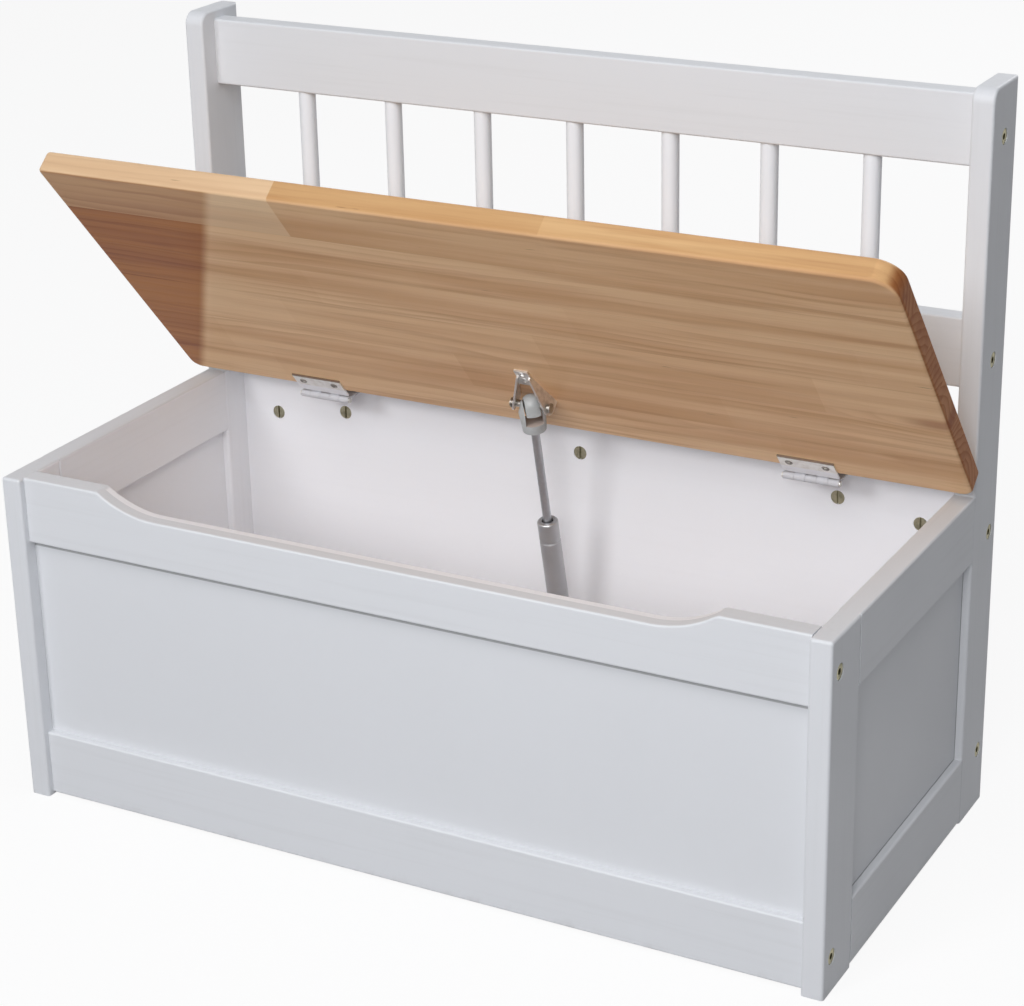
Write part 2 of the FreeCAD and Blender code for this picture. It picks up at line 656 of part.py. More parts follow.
def spindle_x(n):
    """Middle of spindle n, counted from the left."""
    return "-%s/2 + %d*%s" % (clear_width, n + 1, spindle_pitch)


spindles = int(value("spindle_count"))
spindle_low = "middle_rail_top"
spindle_high = "(top_rail_top - rail_height)"
REST_RAILS = (
    ("backrest_top_rail", "top_rail_top", spindle_high),
    ("backrest_middle_rail", "middle_rail_top", "middle_rail_top - tenon_length - dowel_end"),
)
for name, top, hole_z in REST_RAILS:
    blank = block(name + "_blank", ("-%s/2" % clear_width, rest_face, top + " - rail_height"),
                  (clear_width, "rail_thickness", "rail_height"))
    holes = [bar("%s_tenon%d" % (name, n), "Z", (spindle_x(n), rest_middle, hole_z),
                 "tenon_diameter/2 + wood_fit", "tenon_length + dowel_end") for n in range(spindles)]
    finish_cross_piece(name, ease(name + "_rounded", blank, "rail_edge", "X"), holes)

for n in range(spindles):
    name = "spindle_%d" % (n + 1)
    turned_spindle = turned(name + "_turned", (
        ("0", "-tenon_length"),
        ("tenon_diameter/2", "-tenon_length"),
        ("tenon_diameter/2", "0"),
        ("spindle_diameter/2", "0"),
        ("spindle_diameter/2", "%s - %s" % (spindle_high, spindle_low)),
        ("tenon_diameter/2", "%s - %s" % (spindle_high, spindle_low)),
        ("tenon_diameter/2", "%s - %s + tenon_length" % (spindle_high, spindle_low)),
        ("0", "%s - %s + tenon_length" % (spindle_high, spindle_low)),
    ))
    keep(place(turned_spindle, spindle_x(n), rest_middle, spindle_low), name)


# Floor panel: thin board held in a groove all round

floor = block("floor_panel",
              ("-%s/2 - groove_depth + groove_end" % clear_width,
               front_rail_back + " - groove_depth + groove_end", "floor_level"),
              (clear_width + " + 2*groove_depth - 2*groove_end",
               "%s - %s + 2*groove_depth - 2*groove_end" % (wall_face, front_rail_back), "floor_thickness"))
keep(floor, "floor_panel")


# Connector hardware: socket head bolts, barrel nuts and dowels at every end joint

def hex_socket(name, axis, spot):
    """The hexagon socket sunk in a bolt's head."""
    socket = doc.addObject("Part::Prism", name)
    socket.Placement = FreeCAD.Placement(FreeCAD.Vector(), TURN[axis])
    bind(socket, "Circumradius", "hex_key/sqrt(3)")
    bind(socket, "Height", "hex_depth")
    return place(socket, *spot)


def bolt_across(name, side, y, z):
    """A socket head bolt that lies across the bench, its head in the outer face of a post."""
    head_low = "(bench_width/2 - bolt_sink - bolt_head_height)"
    head = bar(name + "_head", "X", (low_x(side, head_low, "bench_width/2 - bolt_sink"), y, z),
               "bolt_head/2", "bolt_head_height")
    shank = bar(name + "_shank", "X", (low_x(side, head_low + " - bolt_length", head_low), y, z),
                "bolt_diameter/2", "bolt_length")
    socket_x = low_x(side, "bench_width/2 - bolt_sink - hex_depth", "bench_width/2 - bolt_sink")
    socket = hex_socket(name + "_socket", "X", (socket_x, y, z))
    return cut(name, join(name + "_blank", [head, shank]), [socket])


def barrel_nut(name, spot, thickness, opens, bolt_axis):
    """A slotted barrel nut in the middle of a board's thickness, its bore along bolt_axis."""
    x, y, z = spot
    low = "%s - %s/2 + nut_sink" % (y, thickness)
    if opens > 0:
        low = "%s + %s/2 - nut_sink - nut_length" % (y, thickness)
    blank = bar(name + "_blank", "Y", (x, low, z), "nut_diameter/2", "nut_length")
    starts = {"X": ("%s - nut_diameter/2" % x, y, z), "Z": (x, y, "%s - nut_diameter/2" % z)}
    bore = bar(name + "_bore", bolt_axis, starts[bolt_axis], "bolt_diameter/2 + running_fit", "nut_diameter")
    slot_y = low if opens < 0 else low + " + nut_length - slot_depth"
    slot = block(name + "_slot", ("%s - nut_slot/2" % x, slot_y, "%s - nut_diameter/2" % z),
                 ("nut_slot", "slot_depth", "nut_diameter"))
    return cut(name, blank, [bore, slot])


for hand, side in SIDES:
    bolts = []
    nuts = []
    dowels = []
    nut_x = "(%d*(bench_width/2 - nut_inset))" % side
    for n, (y, thickness, bolt_z, dowel_z, opens) in enumerate(joints_of(FRONT_PIECES + BACK_PIECES)):
        bolts.append(bolt_across("bolt_%s%d" % (hand, n), side, y, bolt_z))
        nuts.append(barrel_nut("nut_%s%d" % (hand, n), (nut_x, y, bolt_z), thickness, opens, "X"))
        dowel_low = "(%s + dowel_seat - dowel_length)" % post_inner
        dowels.append(bar("rail_dowel_%s%d" % (hand, n), "X",
                          (low_x(side, dowel_low, post_inner + " + dowel_seat"), y, dowel_z),
                          "dowel_diameter/2", "dowel_length"))
    group("connector_bolts_" + hand, bolts)
    group("barrel_nuts_" + hand, nuts)
    group("rail_dowels_" + hand, dowels)


# Hinge ledge: fixed strip behind the lid, bolted down on the back wall's top edge

ledge_front = "(bench_depth/2 - post_depth + ledge_setback)"
ledge_top = "(box_height + ledge_thickness)"
ledge_blank = block("hinge_ledge_blank", ("-%s/2" % clear_width, ledge_front, "box_height"),
                    (clear_width, "%s + wall_thickness - %s" % (wall_face, ledge_front), "ledge_thickness"))
ledge_tools = []
ledge_bolts = []
ledge_nuts = []
for spot, x in LEDGE_BOLTS:
    seat_z = "(%s - bolt_sink - bolt_head_height)" % ledge_top
    ledge_tools.append(bar("ledge_hole_" + spot, "Z", (x, wall_middle, "box_height"),
                           "bolt_diameter/2 + bolt_play", "ledge_thickness"))
    ledge_tools.append(bar("ledge_seat_" + spot, "Z", (x, wall_middle, seat_z),
                           "bolt_head/2 + bolt_play", "bolt_sink + bolt_head_height"))
    head = bar("ledge_bolt_head_" + spot, "Z", (x, wall_middle, seat_z), "bolt_head/2", "bolt_head_height")
    shank = bar("ledge_bolt_shank_" + spot, "Z", (x, wall_middle, ledge_bolt_low), "bolt_diameter/2",
                "ledge_bolt_length")
    socket = hex_socket("ledge_bolt_socket_" + spot, "Z",
                        (x, wall_middle, "%s - bolt_sink - hex_depth" % ledge_top))
    ledge_bolts.append(cut("ledge_bolt_" + spot, join("ledge_bolt_blank_" + spot, [head, shank]), [socket]))
    nut_spot = ("(%s)" % x, wall_middle, ledge_nut_z)
    ledge_nuts.append(barrel_nut("ledge_nut_" + spot, nut_spot, "wall_thickness", -1, "Z"))
hinge_x = "(%s - hinge_inset)" % post_inner
HINGES = (("left", "(-%s)" % hinge_x), ("right", hinge_x))
SCREW_ENDS = (("a", "-leaf_screw_spread/2"), ("b", "leaf_screw_spread/2"))
for hand, middle in HINGES:
    for end, offset in SCREW_ENDS:
        pilot_spot = ("%s + %s" % (middle, offset), "%s + ledge_leaf_screw" % hinge_y, "box_height")
        ledge_tools.append(bar("ledge_pilot_%s_%s" % (hand, end), "Z", pilot_spot,
                               "screw_diameter/2 + wood_fit", "screw_length + dowel_end"))
ledge_rounded = ease("hinge_ledge_rounded", ledge_blank, "rail_edge", "X")
keep(cut("hinge_ledge", ledge_rounded, ledge_tools), "hinge_ledge")
group("ledge_bolts", ledge_bolts)
group("ledge_nuts", ledge_nuts)


# Everything on the lid is laid out closed, with the hinge pin's axis as X, and then opened

def open_with_lid(piece):
    """Carry a piece of the closed lid to its open place."""
    tilt(piece, "-lid_opening")
    return place(piece, "0", hinge_y, hinge_z)


def on_hinge_line(piece):
    """Carry a piece laid out about the hinge pin's axis to its place, unturned."""
    return place(piece, "0", hinge_y, hinge_z)


def screw(name, axis, spot, sheet_thickness, grow="0"):
    """A countersunk wood screw from the middle of its head's flat face, its head sunk through the
    sheet that it holds, or the screw's hole when grown."""
    cone = doc.addObject("Part::Cone", name + "_head")
    cone.Placement = FreeCAD.Placement(FreeCAD.Vector(), TURN[axis])
    bind(cone, "Radius1", "screw_head/2 + " + grow)
    bind(cone, "Radius2", "screw_diameter/2 + " + grow)
    bind(cone, "Height", sheet_thickness)
    place(cone, *spot)
    shank = bar(name + "_shank", axis, spot, "screw_diameter/2 + " + grow,
                sheet_thickness + " + screw_length")
    return join(name, [cone, shank])


def leaf(name, middle, sign, top, knuckles, screw_reach):
    """One hinge leaf: a plate with its rolled knuckles, the pin's bore and two countersunk holes.
    sign is -1 for the leaf under the lid and 1 for the leaf under the ledge."""
    plate_y = "leaf_root" if sign > 0 else "-leaf_width"
    plate_z = "%s - leaf_thickness" % top
    pieces = [block(name + "_plate", ("%s - hinge_length/2" % middle, plate_y, plate_z),
                    ("hinge_length", "leaf_width - leaf_root", "leaf_thickness"))]
    run = "hinge_length/knuckle_count - 2*knuckle_play"
    for n in knuckles:
        x = "%s - hinge_length/2 + %d*hinge_length/knuckle_count + knuckle_play" % (middle, n)
        pieces.append(bar("%s_knuckle%d" % (name, n), "X", (x, "0", "0"), "knuckle_diameter/2", run))
        pieces.append(block("%s_tab%d" % (name, n), (x, "0" if sign > 0 else "-leaf_root", plate_z),
                            (run, "leaf_root", "leaf_thickness")))
    tools = [bar(name + "_bore", "X", ("%s - hinge_length/2" % middle, "0", "0"),
                 "hinge_pin_diameter/2 + running_fit", "hinge_length")]
    for end, offset in SCREW_ENDS:
        spot = ("%s + %s" % (middle, offset), "%d*%s" % (sign, screw_reach), plate_z)
        tools.append(screw("%s_hole_%s" % (name, end), "Z", spot, "leaf_thickness", "wood_fit"))
    return cut(name, join(name + "_blank", pieces), tools)


knuckle_count = int(value("knuckle_count"))
LEDGE_KNUCKLES = range(0, knuckle_count, 2)
LID_KNUCKLES = range(1, knuckle_count, 2)
lid_screws = []
ledge_screws = []
for hand, middle in HINGES:
    lid_leaf = leaf("hinge_lid_leaf_" + hand, middle, -1, lid_under, LID_KNUCKLES, "lid_leaf_screw")
    keep(open_with_lid(lid_leaf), "hinge_lid_leaf_" + hand)
    ledge_leaf = leaf("hinge_ledge_leaf_" + hand, middle, 1, "knuckle_diameter/2", LEDGE_KNUCKLES,
                      "ledge_leaf_screw")
    keep(on_hinge_line(ledge_leaf), "hinge_ledge_leaf_" + hand)
    pin_shank = bar("hinge_pin_shank_" + hand, "X", ("%s - hinge_length/2" % middle, "0", "0"),
                    "hinge_pin_diameter/2", "hinge_length")
    pin_head_starts = ("%s - hinge_length/2 - pin_head_height" % middle, "%s + hinge_length/2" % middle)
    pin_heads = [bar("hinge_pin_head_%s%d" % (hand, n), "X", (x, "0", "0"),
                     "hinge_pin_head/2", "pin_head_height") for n, x in enumerate(pin_head_starts)]
    hinge_pin = join("hinge_pin_" + hand, [pin_shank] + pin_heads)
    keep(on_hinge_line(hinge_pin), "hinge_pin_" + hand)
    for end, offset in SCREW_ENDS:
        x = "%s + %s" % (middle, offset)
        lid_screws.append(screw("lid_screw_%s_%s" % (hand, end), "Z",
                                (x, "-lid_leaf_screw", lid_under + " - leaf_thickness"),
                                "leaf_thickness"))
        ledge_screws.append(screw("ledge_screw_%s_%s" % (hand, end), "Z",
                                  (x, "ledge_leaf_screw", "knuckle_diameter/2 - leaf_thickness"),
                                  "leaf_thickness"))
open_with_lid(group("hinge_screws_lid", lid_screws))
on_hinge_line(group("hinge_screws_ledge", ledge_screws))


# Lid: edge-glued pine board with rounded corners and eased edges, drilled for its screws

lid_half = "(bench_width/2 + lid_overhang)"
lid_back = "(-hinge_to_lid)"
lid_front = "(-hinge_to_lid - lid_depth)"
lid_blank = slab("lid_blank", "XY", (
    ("-" + lid_half, lid_front),
    (lid_half, lid_front),
    (lid_half, lid_back),
    ("-" + lid_half, lid_back),
), "lid_thickness")
place(lid_blank, "0", "0", lid_under)
lid_middle = value("-hinge_to_lid - lid_depth/2")
for hand, side in SIDES:
    soften(lid_blank, "lid_front_corner_" + hand, "lid_%s_corner" % hand,
           lambda edge: direction(edge) == "Z" and edge.CenterOfMass.y < lid_middle
           and edge.CenterOfMass.x * side > 0)
soften(lid_blank, "lid_back_corners", "lid_back_corner",
       lambda edge: direction(edge) == "Z" and edge.CenterOfMass.y > lid_middle)
soften(lid_blank, "lid_edges", "lid_edge", lambda edge: edge.BoundBox.ZLength < TINY)

BRACKET_SCREWS = (("front", "-bracket_screw"), ("back", "-bracket_screw + bracket_screw_pitch"))
bracket_low = lid_under + " - bracket_sheet"
lid_tools = []
for hand, middle in HINGES:
    for end, offset in SCREW_ENDS:
        lid_tools.append(bar("lid_pilot_%s_%s" % (hand, end), "Z",
                             ("%s + %s" % (middle, offset), "-lid_leaf_screw", lid_under),
                             "screw_diameter/2 + wood_fit", "screw_length + dowel_end"))
for spot, y in BRACKET_SCREWS:
    lid_tools.append(bar("lid_bracket_pilot_" + spot, "Z", ("0", y, lid_under),
                         "screw_diameter/2 + wood_fit", "screw_length + dowel_end"))
keep(open_with_lid(cut("lid", lid_blank, lid_tools)), "lid")


# Lid bracket: folded sheet with a flat nose, from which two ears spread back to the stay's pin

bracket_back = "(stay_reach - ear_below_pin)"
ear_slope = "((ear_back_half - ear_front_half)/(ear_front - %s))" % bracket_back
nose_half = "(ear_front_half + bracket_sheet)"
fork_half = "(%s + %s*(ear_front - bracket_fork))" % (nose_half, ear_slope)
nose = slab("lid_bracket_nose", "XY", (
    ("-" + nose_half, "-bracket_front"),
    (nose_half, "-bracket_front"),
    (nose_half, "-ear_front"),
    (fork_half, "-bracket_fork"),
    ("-" + fork_half, "-bracket_fork"),
    ("-" + nose_half, "-ear_front"),
), "bracket_sheet")
place(nose, "0", "0", bracket_low)
ear_low = "(%s - ear_below_pin)" % stay_pin_z
ears = []
for hand, side in SIDES:
    ear = slab("lid_bracket_ear_" + hand, "XY", (
        ("%d*ear_front_half" % side, "-ear_front"),
        ("%d*ear_back_half" % side, "-" + bracket_back),
        ("%d*(ear_back_half + bracket_sheet)" % side, "-" + bracket_back),
        ("%d*%s" % (side, nose_half), "-ear_front"),
    ), "%s - %s" % (lid_under, ear_low))
    ears.append(place(ear, "0", "0", ear_low))
ear_span = "(ear_back_half + bracket_sheet)"
below_ears = slab("lid_bracket_below_ears", "YZ", (
    ("-ear_front", ear_low + " - bracket_sheet"),
    ("-" + bracket_back, ear_low + " - bracket_sheet"),
    ("-" + bracket_back, stay_pin_z),
    ("-stay_reach", ear_low),
    ("-ear_front", lid_under + " - ear_front_height"),
), "2*" + ear_span, {2: "-ear_below_pin"})
place(below_ears, "-" + ear_span, "0", "0")
pin_half = "(%s + %s*(ear_front - stay_reach + stay_pin_head/2))" % (nose_half, ear_slope)
bracket_tools = [below_ears]
bracket_tools.append(bar("lid_bracket_pin_hole", "X", ("-" + pin_half, "-stay_reach", stay_pin_z),
                         "stay_pin_diameter/2 + running_fit", "2*" + pin_half))
bracket_screws = []
for spot, y in BRACKET_SCREWS:
    head_spot = ("0", y, bracket_low)
    bracket_tools.append(screw("lid_bracket_hole_" + spot, "Z", head_spot, "bracket_sheet", "wood_fit"))
    bracket_screws.append(screw("lid_bracket_screw_" + spot, "Z", head_spot, "bracket_sheet"))
lid_bracket = cut("lid_bracket", join("lid_bracket_blank", [nose] + ears), bracket_tools)
keep(open_with_lid(lid_bracket), "lid_bracket")
open_with_lid(group("lid_bracket_screws", bracket_screws))


def stay_pin(name, half, y, z):
    """A plain pin across the bench with a flat head at each end."""
    shank = bar(name + "_shank", "X", ("-(%s)" % half, y, z), "stay_pin_diameter/2", "2*(%s)" % half)
    heads = [bar("%s_head%d" % (name, n), "X", (x, y, z), "stay_pin_head/2", "stay_pin_head_height")
             for n, x in enumerate(("-(%s) - stay_pin_head_height" % half, half))]
    return join(name, [shank] + heads)


keep(open_with_lid(stay_pin("lid_bracket_pin", pin_half, "-stay_reach", stay_pin_z)), "lid_bracket_pin")


# Wall bracket: folded sheet low on the back wall, with two ears that hold the stay's lower pin

wall_ear = "(head_diameter/2 + wall_ear_gap)"
wall_half = "(head_diameter/2 + wall_ear_gap + bracket_sheet)"
wall_plate = block("wall_bracket_plate",
                   ("-" + wall_half, wall_face + " - bracket_sheet", foot_z + " - wall_ear_radius"),
                   ("2*" + wall_half, "bracket_sheet", "wall_plate_up + wall_ear_radius"))
wall_pieces = [wall_plate]
for hand, side in SIDES:
    ear_x = low_x(side, wall_ear, wall_half)
    wall_pieces.append(block("wall_bracket_ear_" + hand, (ear_x, foot_y, foot_z + " - wall_ear_radius"),
                             ("bracket_sheet", "stay_foot_forward", "2*wall_ear_radius")))
    wall_pieces.append(bar("wall_bracket_eye_" + hand, "X", (ear_x, foot_y, foot_z),
                           "wall_ear_radius", "bracket_sheet"))
wall_holes = [bar("wall_bracket_pin_hole", "X", ("-" + wall_half, foot_y, foot_z),
                  "stay_pin_diameter/2 + running_fit", "2*" + wall_half)]
wall_screws = []
for n in WALL_SCREWS:
    spot = ("0", wall_face + " - bracket_sheet", "%s + wall_screw_first + %d*wall_screw_pitch" % (foot_z, n))
    wall_holes.append(screw("wall_bracket_hole%d" % n, "Y", spot, "bracket_sheet", "wood_fit"))
    wall_screws.append(screw("wall_bracket_screw%d" % n, "Y", spot, "bracket_sheet"))
keep(cut("wall_bracket", join("wall_bracket_blank", wall_pieces), wall_holes), "wall_bracket")
group("wall_bracket_screws", wall_screws)
keep(stay_pin("wall_bracket_pin", wall_half, foot_y, foot_z), "wall_bracket_pin")


# Lid stay: a rod that slides in a closed cylinder, with a plastic head on each end.
# Heights run from the lower pin's axis up along the stay.

def on_stay_line(piece):
    """Carry a piece laid out along Z from the lower pin to its leaning place."""
    tilt(piece, stay_angle)
    return place(piece, "0", foot_y, foot_z)


tube_top = "(%s - head_drop - stay_exposed)" % stay_length
tube_bore = "(tube_diameter/2 - tube_wall)"
guide_top = "(%s - tube_lip)" % tube_top
bead_z = "(%s - bead_drop)" % tube_top
piston_top = "(%s - guide_length - piston_gap)" % guide_top
rod_top = "(%s - head_drop + rod_seat)" % stay_length
head_low = "(%s - head_drop)" % stay_length

tube = turned("stay_cylinder_turned", (
    (tube_bore, "tube_seat"),
    ("tube_diameter/2", "tube_seat"),
    ("tube_diameter/2", bead_z + " - bead_width/2"),
    ("tube_diameter/2 - bead_depth", bead_z),
    ("tube_diameter/2", bead_z + " + bead_width/2"),
    ("tube_diameter/2", tube_top + " - tube_lip"),
    ("tube_diameter/2 - tube_lip", tube_top),
    ("rod_diameter/2 + tube_wall", tube_top),
    ("rod_diameter/2 + tube_wall", guide_top),
    (tube_bore, guide_top),
), {5: "tube_lip"})
keep(on_stay_line(tube), "stay_cylinder")

guide = turned("stay_guide_turned", (
    ("rod_diameter/2 + running_fit", guide_top + " - guide_length"),
    (tube_bore + " - wood_fit", guide_top + " - guide_length"),
    (tube_bore + " - wood_fit", guide_top),
    ("rod_diameter/2 + running_fit", guide_top),
))
keep(on_stay_line(guide), "stay_guide")

rod = turned("stay_rod_turned", (
    ("0", piston_top + " - piston_length"),
    ("rod_diameter/2", piston_top + " - piston_length"),
    ("rod_diameter/2", rod_top),
    ("0", rod_top),
))
keep(on_stay_line(rod), "stay_rod")

piston = turned("stay_piston_turned", (
    ("rod_diameter/2 + wood_fit", piston_top + " - piston_length"),
    (tube_bore + " - piston_fit", piston_top + " - piston_length"),
    (tube_bore + " - piston_fit", piston_top),
    ("rod_diameter/2 + wood_fit", piston_top),
))
keep(on_stay_line(piston), "stay_piston")

upper_blank = turned("stay_upper_head_turned", (
    ("0", rod_top),
    ("rod_diameter/2 + wood_fit", rod_top),
    ("rod_diameter/2 + wood_fit", head_low),
    ("head_diameter/2 - head_lip", head_low),
    ("head_diameter/2", head_low + " + head_lip"),
    ("head_diameter/2", stay_length + " - window_drop"),
    ("head_dome", stay_length),
    ("0", stay_length + " + head_dome"),
), {6: "head_dome"})
upper_window = block(
    "stay_upper_head_window",
    ("-window_width/2*cos(window_turn) + head_diameter/2*sin(window_turn)",
     "-window_width/2*sin(window_turn) - head_diameter/2*cos(window_turn)",
     "%s - window_drop - window_height" % stay_length),
    ("window_width", "head_diameter", "window_height"))
tilt(upper_window, "window_turn", FreeCAD.Vector(0, 0, 1))
upper_tools = [
    bar("stay_upper_head_bore", "X", ("-head_diameter/2", "0", stay_length),
        "stay_pin_diameter/2 + running_fit", "head_diameter"),
    upper_window,
]
keep(on_stay_line(cut("stay_upper_head", upper_blank, upper_tools)), "stay_upper_head")

lower_blank = turned("stay_lower_head_turned", (
    ("0", "-head_diameter/2"),
    ("head_diameter/2", "0"),
    ("head_diameter/2", "foot_head_top - head_lip"),
    ("head_diameter/2 - head_lip", "foot_head_top"),
    ("tube_diameter/2 + wood_fit", "foot_head_top"),
    ("tube_diameter/2 + wood_fit", "tube_seat"),
    ("0", "tube_seat"),
), {0: "head_diameter/2"})
lower_eye = bar("stay_lower_head_eye", "X", ("-head_diameter/2", "0", "0"), "foot_eye/2", "head_diameter")
keep(on_stay_line(cut("stay_lower_head", lower_blank, [lower_eye])), "stay_lower_head")


# Check every object, then write one file for each piece

doc.recompute()
failed = [thing.Name for thing in doc.Objects if {"Invalid", "Error"} & set(thing.State)]
for piece in parts:
    if piece.Shape.isNull() or not piece.Shape.isValid():
        failed.append(piece.Label)
if failed:
    raise RuntimeError("These objects failed: " + ", ".join(failed))

os.makedirs("parts", exist_ok=True)
for piece in parts:
    piece.Shape.exportStep("parts/%s.step" % piece.Label)
    print(piece.Label, len(piece.Shape.Solids), round(piece.Shape.Volume, 1))
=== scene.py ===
import json
import math

import bpy
from mathutils import Matrix, Vector


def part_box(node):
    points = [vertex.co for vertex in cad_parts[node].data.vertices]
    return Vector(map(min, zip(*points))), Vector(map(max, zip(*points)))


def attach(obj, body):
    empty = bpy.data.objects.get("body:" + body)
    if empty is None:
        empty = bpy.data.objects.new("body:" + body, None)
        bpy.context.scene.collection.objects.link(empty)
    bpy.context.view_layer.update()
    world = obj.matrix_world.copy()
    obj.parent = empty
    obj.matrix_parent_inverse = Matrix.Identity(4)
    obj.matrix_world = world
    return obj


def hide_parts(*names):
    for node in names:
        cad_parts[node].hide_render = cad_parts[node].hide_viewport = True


# Toy storage bench: a white lacquered chest with a slatted back rest and a varnished pine lid, which
# stands open on two small hinges and a telescopic stay. Metres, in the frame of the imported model.

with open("model.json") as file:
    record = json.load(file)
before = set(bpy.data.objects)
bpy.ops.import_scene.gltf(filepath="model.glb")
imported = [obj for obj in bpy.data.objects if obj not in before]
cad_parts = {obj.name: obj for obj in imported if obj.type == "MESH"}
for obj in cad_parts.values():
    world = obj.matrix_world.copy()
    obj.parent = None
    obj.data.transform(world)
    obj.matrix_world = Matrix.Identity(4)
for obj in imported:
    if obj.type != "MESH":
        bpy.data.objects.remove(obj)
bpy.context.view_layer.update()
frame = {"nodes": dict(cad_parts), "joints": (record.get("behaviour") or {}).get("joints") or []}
nodes = frame["nodes"]
joints = {joint["name"]: joint for joint in frame["joints"]}


# Posts
# Four planed pine posts, glued into the side frames, carry the whole bench. All of it was sprayed
# with white lacquer after gluing, so the grain shows only as faint lines in the film. Inside the
# chest the film is painted a lighter white: painted light.

LACQUER_WHITE = (0.765, 0.78, 0.805, 1)
# The lighter white inside the chest is painted light.
PAINTED_LIGHT_WHITE = (0.945, 0.945, 0.97, 1)
LACQUER_DULL = (0.90, 0.895, 0.89, 1)
DULL_SHARE = 0.22
PATCH_SCALE = 11
PEEL_SCALE = 620
PEEL_SHARE = 0.5
GRAIN_UP = (260, 260, 7)
GRAIN_MARK = (0.48, 0.72)
FLOOR_SCUFF = (0.50, 0.49, 0.48, 1)
SCUFF_HEIGHT = 0.010
SCUFF_SCALE = 75
SCUFF_MARK = (0.46, 0.74)
SCUFF_SHARE = 0.3
FILM_ROUGH = 0.4
PATCH_ROUGH = 0.16
SCUFF_ROUGH = 0.3
FILM_RELIEF = 0.00003
FILM_SHINE = 0.24
CHEST_SPACE = {"X": 0.2908, "Y": 0.1308}
CHEST_CORNER = 0.0005
CHEST_BRIM = (0.2395, 0.2385)


def add_node(tree, kind, inputs=None, **settings):
    """Add a shader node, set its options, and fill or link its inputs."""
    node = tree.nodes.new(kind)
    for option, choice in settings.items():
        setattr(node, option, choice)
    for socket, value in (inputs or {}).items():
        if isinstance(value, bpy.types.NodeSocket):
            tree.links.new(value, node.inputs[socket])
        else:
            node.inputs[socket].default_value = value
    return node


def calc(tree, operation, *values):
    """One step of arithmetic, which gives the socket of its result."""
    node = add_node(tree, "ShaderNodeMath", dict(enumerate(values)), operation=operation)
    return node.outputs[0]


def axes_of(tree, vector):
    """The sockets X, Y and Z of a vector."""
    return add_node(tree, "ShaderNodeSeparateXYZ", {0: vector}).outputs


def ramp_mask(tree, value, low, high):
    """0 below low, 1 above high, and a smooth rise between them."""
    inputs = {"Value": value, "From Min": low, "From Max": high}
    return add_node(tree, "ShaderNodeMapRange", inputs, interpolation_type="SMOOTHSTEP").outputs[0]


def mix_colours(tree, share, first, second, blend_type="MIX"):
    """Blend two colours, which gives the socket of the result."""
    node = add_node(tree, "ShaderNodeMix", {0: share, 6: first, 7: second}, data_type="RGBA",
                    blend_type=blend_type)
    return node.outputs[2]


def cloud(tree, position, scale, detail=3.0):
    """Value of a noise texture at a position."""
    inputs = {"Vector": position, "Scale": scale, "Detail": detail}
    return add_node(tree, "ShaderNodeTexNoise", inputs).outputs["Fac"]


def start_group(name, inputs, outputs):
    """An empty shader node group with named sockets, and its two end nodes."""
    group = bpy.data.node_groups.new(name, "ShaderNodeTree")
    for title, kind in inputs:
        group.interface.new_socket(title, in_out="INPUT", socket_type="NodeSocket" + kind)
    for title, kind in outputs:
        group.interface.new_socket(title, in_out="OUTPUT", socket_type="NodeSocket" + kind)
    return group, add_node(group, "NodeGroupInput"), add_node(group, "NodeGroupOutput")


SURFACE = (("Color", "Color"), ("Roughness", "Float"), ("Height", "Float"))


def give_surface(group, end, colour, roughness, height):
    """Link a group's three results to its output node."""
    for socket, result in (("Color", colour), ("Roughness", roughness), ("Height", height)):
        group.links.new(result, end.inputs[socket])


lacquer_film, film_in, film_out = start_group(
    "lacquer_film",
    (("Position", "Vector"), ("Along Grain", "Vector"), ("Paint", "Color"), ("Inside Painted Light", "Color"),
     ("Grain", "Float")), SURFACE)
film_place = film_in.outputs["Position"]
film_spot = axes_of(lacquer_film, film_place)
# Faces inside the chest take the lighter white: painted light.
inside = ramp_mask(lacquer_film, film_spot["Z"], *CHEST_BRIM)
for axis, reach in CHEST_SPACE.items():
    from_middle = calc(lacquer_film, "ABSOLUTE", film_spot[axis])
    within = ramp_mask(lacquer_film, from_middle, reach + CHEST_CORNER, reach)
    inside = calc(lacquer_film, "MULTIPLY", inside, within)
paint = mix_colours(lacquer_film, inside, film_in.outputs["Paint"], film_in.outputs["Inside Painted Light"])
patchy = cloud(lacquer_film, film_place, PATCH_SCALE)
orange_peel = cloud(lacquer_film, film_place, PEEL_SCALE, detail=2)
grain_lines = cloud(lacquer_film, film_in.outputs["Along Grain"], scale=1, detail=5)
grain_lines = ramp_mask(lacquer_film, grain_lines, *GRAIN_MARK)
grain_lines = calc(lacquer_film, "MULTIPLY", grain_lines, film_in.outputs["Grain"])
dulling = calc(lacquer_film, "MULTIPLY", calc(lacquer_film, "ADD", patchy, grain_lines), DULL_SHARE)
paint = mix_colours(lacquer_film, dulling, paint, LACQUER_DULL, "MULTIPLY")
near_floor = ramp_mask(lacquer_film, film_spot["Z"], SCUFF_HEIGHT, 0)
scuffed = cloud(lacquer_film, film_place, SCUFF_SCALE, detail=6)
scuffed = ramp_mask(lacquer_film, scuffed, *SCUFF_MARK)
scuffed = calc(lacquer_film, "MULTIPLY", scuffed, near_floor)
scuffed = calc(lacquer_film, "MULTIPLY", scuffed, SCUFF_SHARE)
paint = mix_colours(lacquer_film, scuffed, paint, FLOOR_SCUFF)
film_rough = calc(lacquer_film, "MULTIPLY_ADD", patchy, PATCH_ROUGH, FILM_ROUGH)
film_rough = calc(lacquer_film, "MULTIPLY_ADD", scuffed, SCUFF_ROUGH, film_rough)
film_height = calc(lacquer_film, "MULTIPLY", orange_peel, PEEL_SHARE)
film_height = calc(lacquer_film, "SUBTRACT", film_height, grain_lines)
give_surface(lacquer_film, film_out, paint, film_rough, film_height)


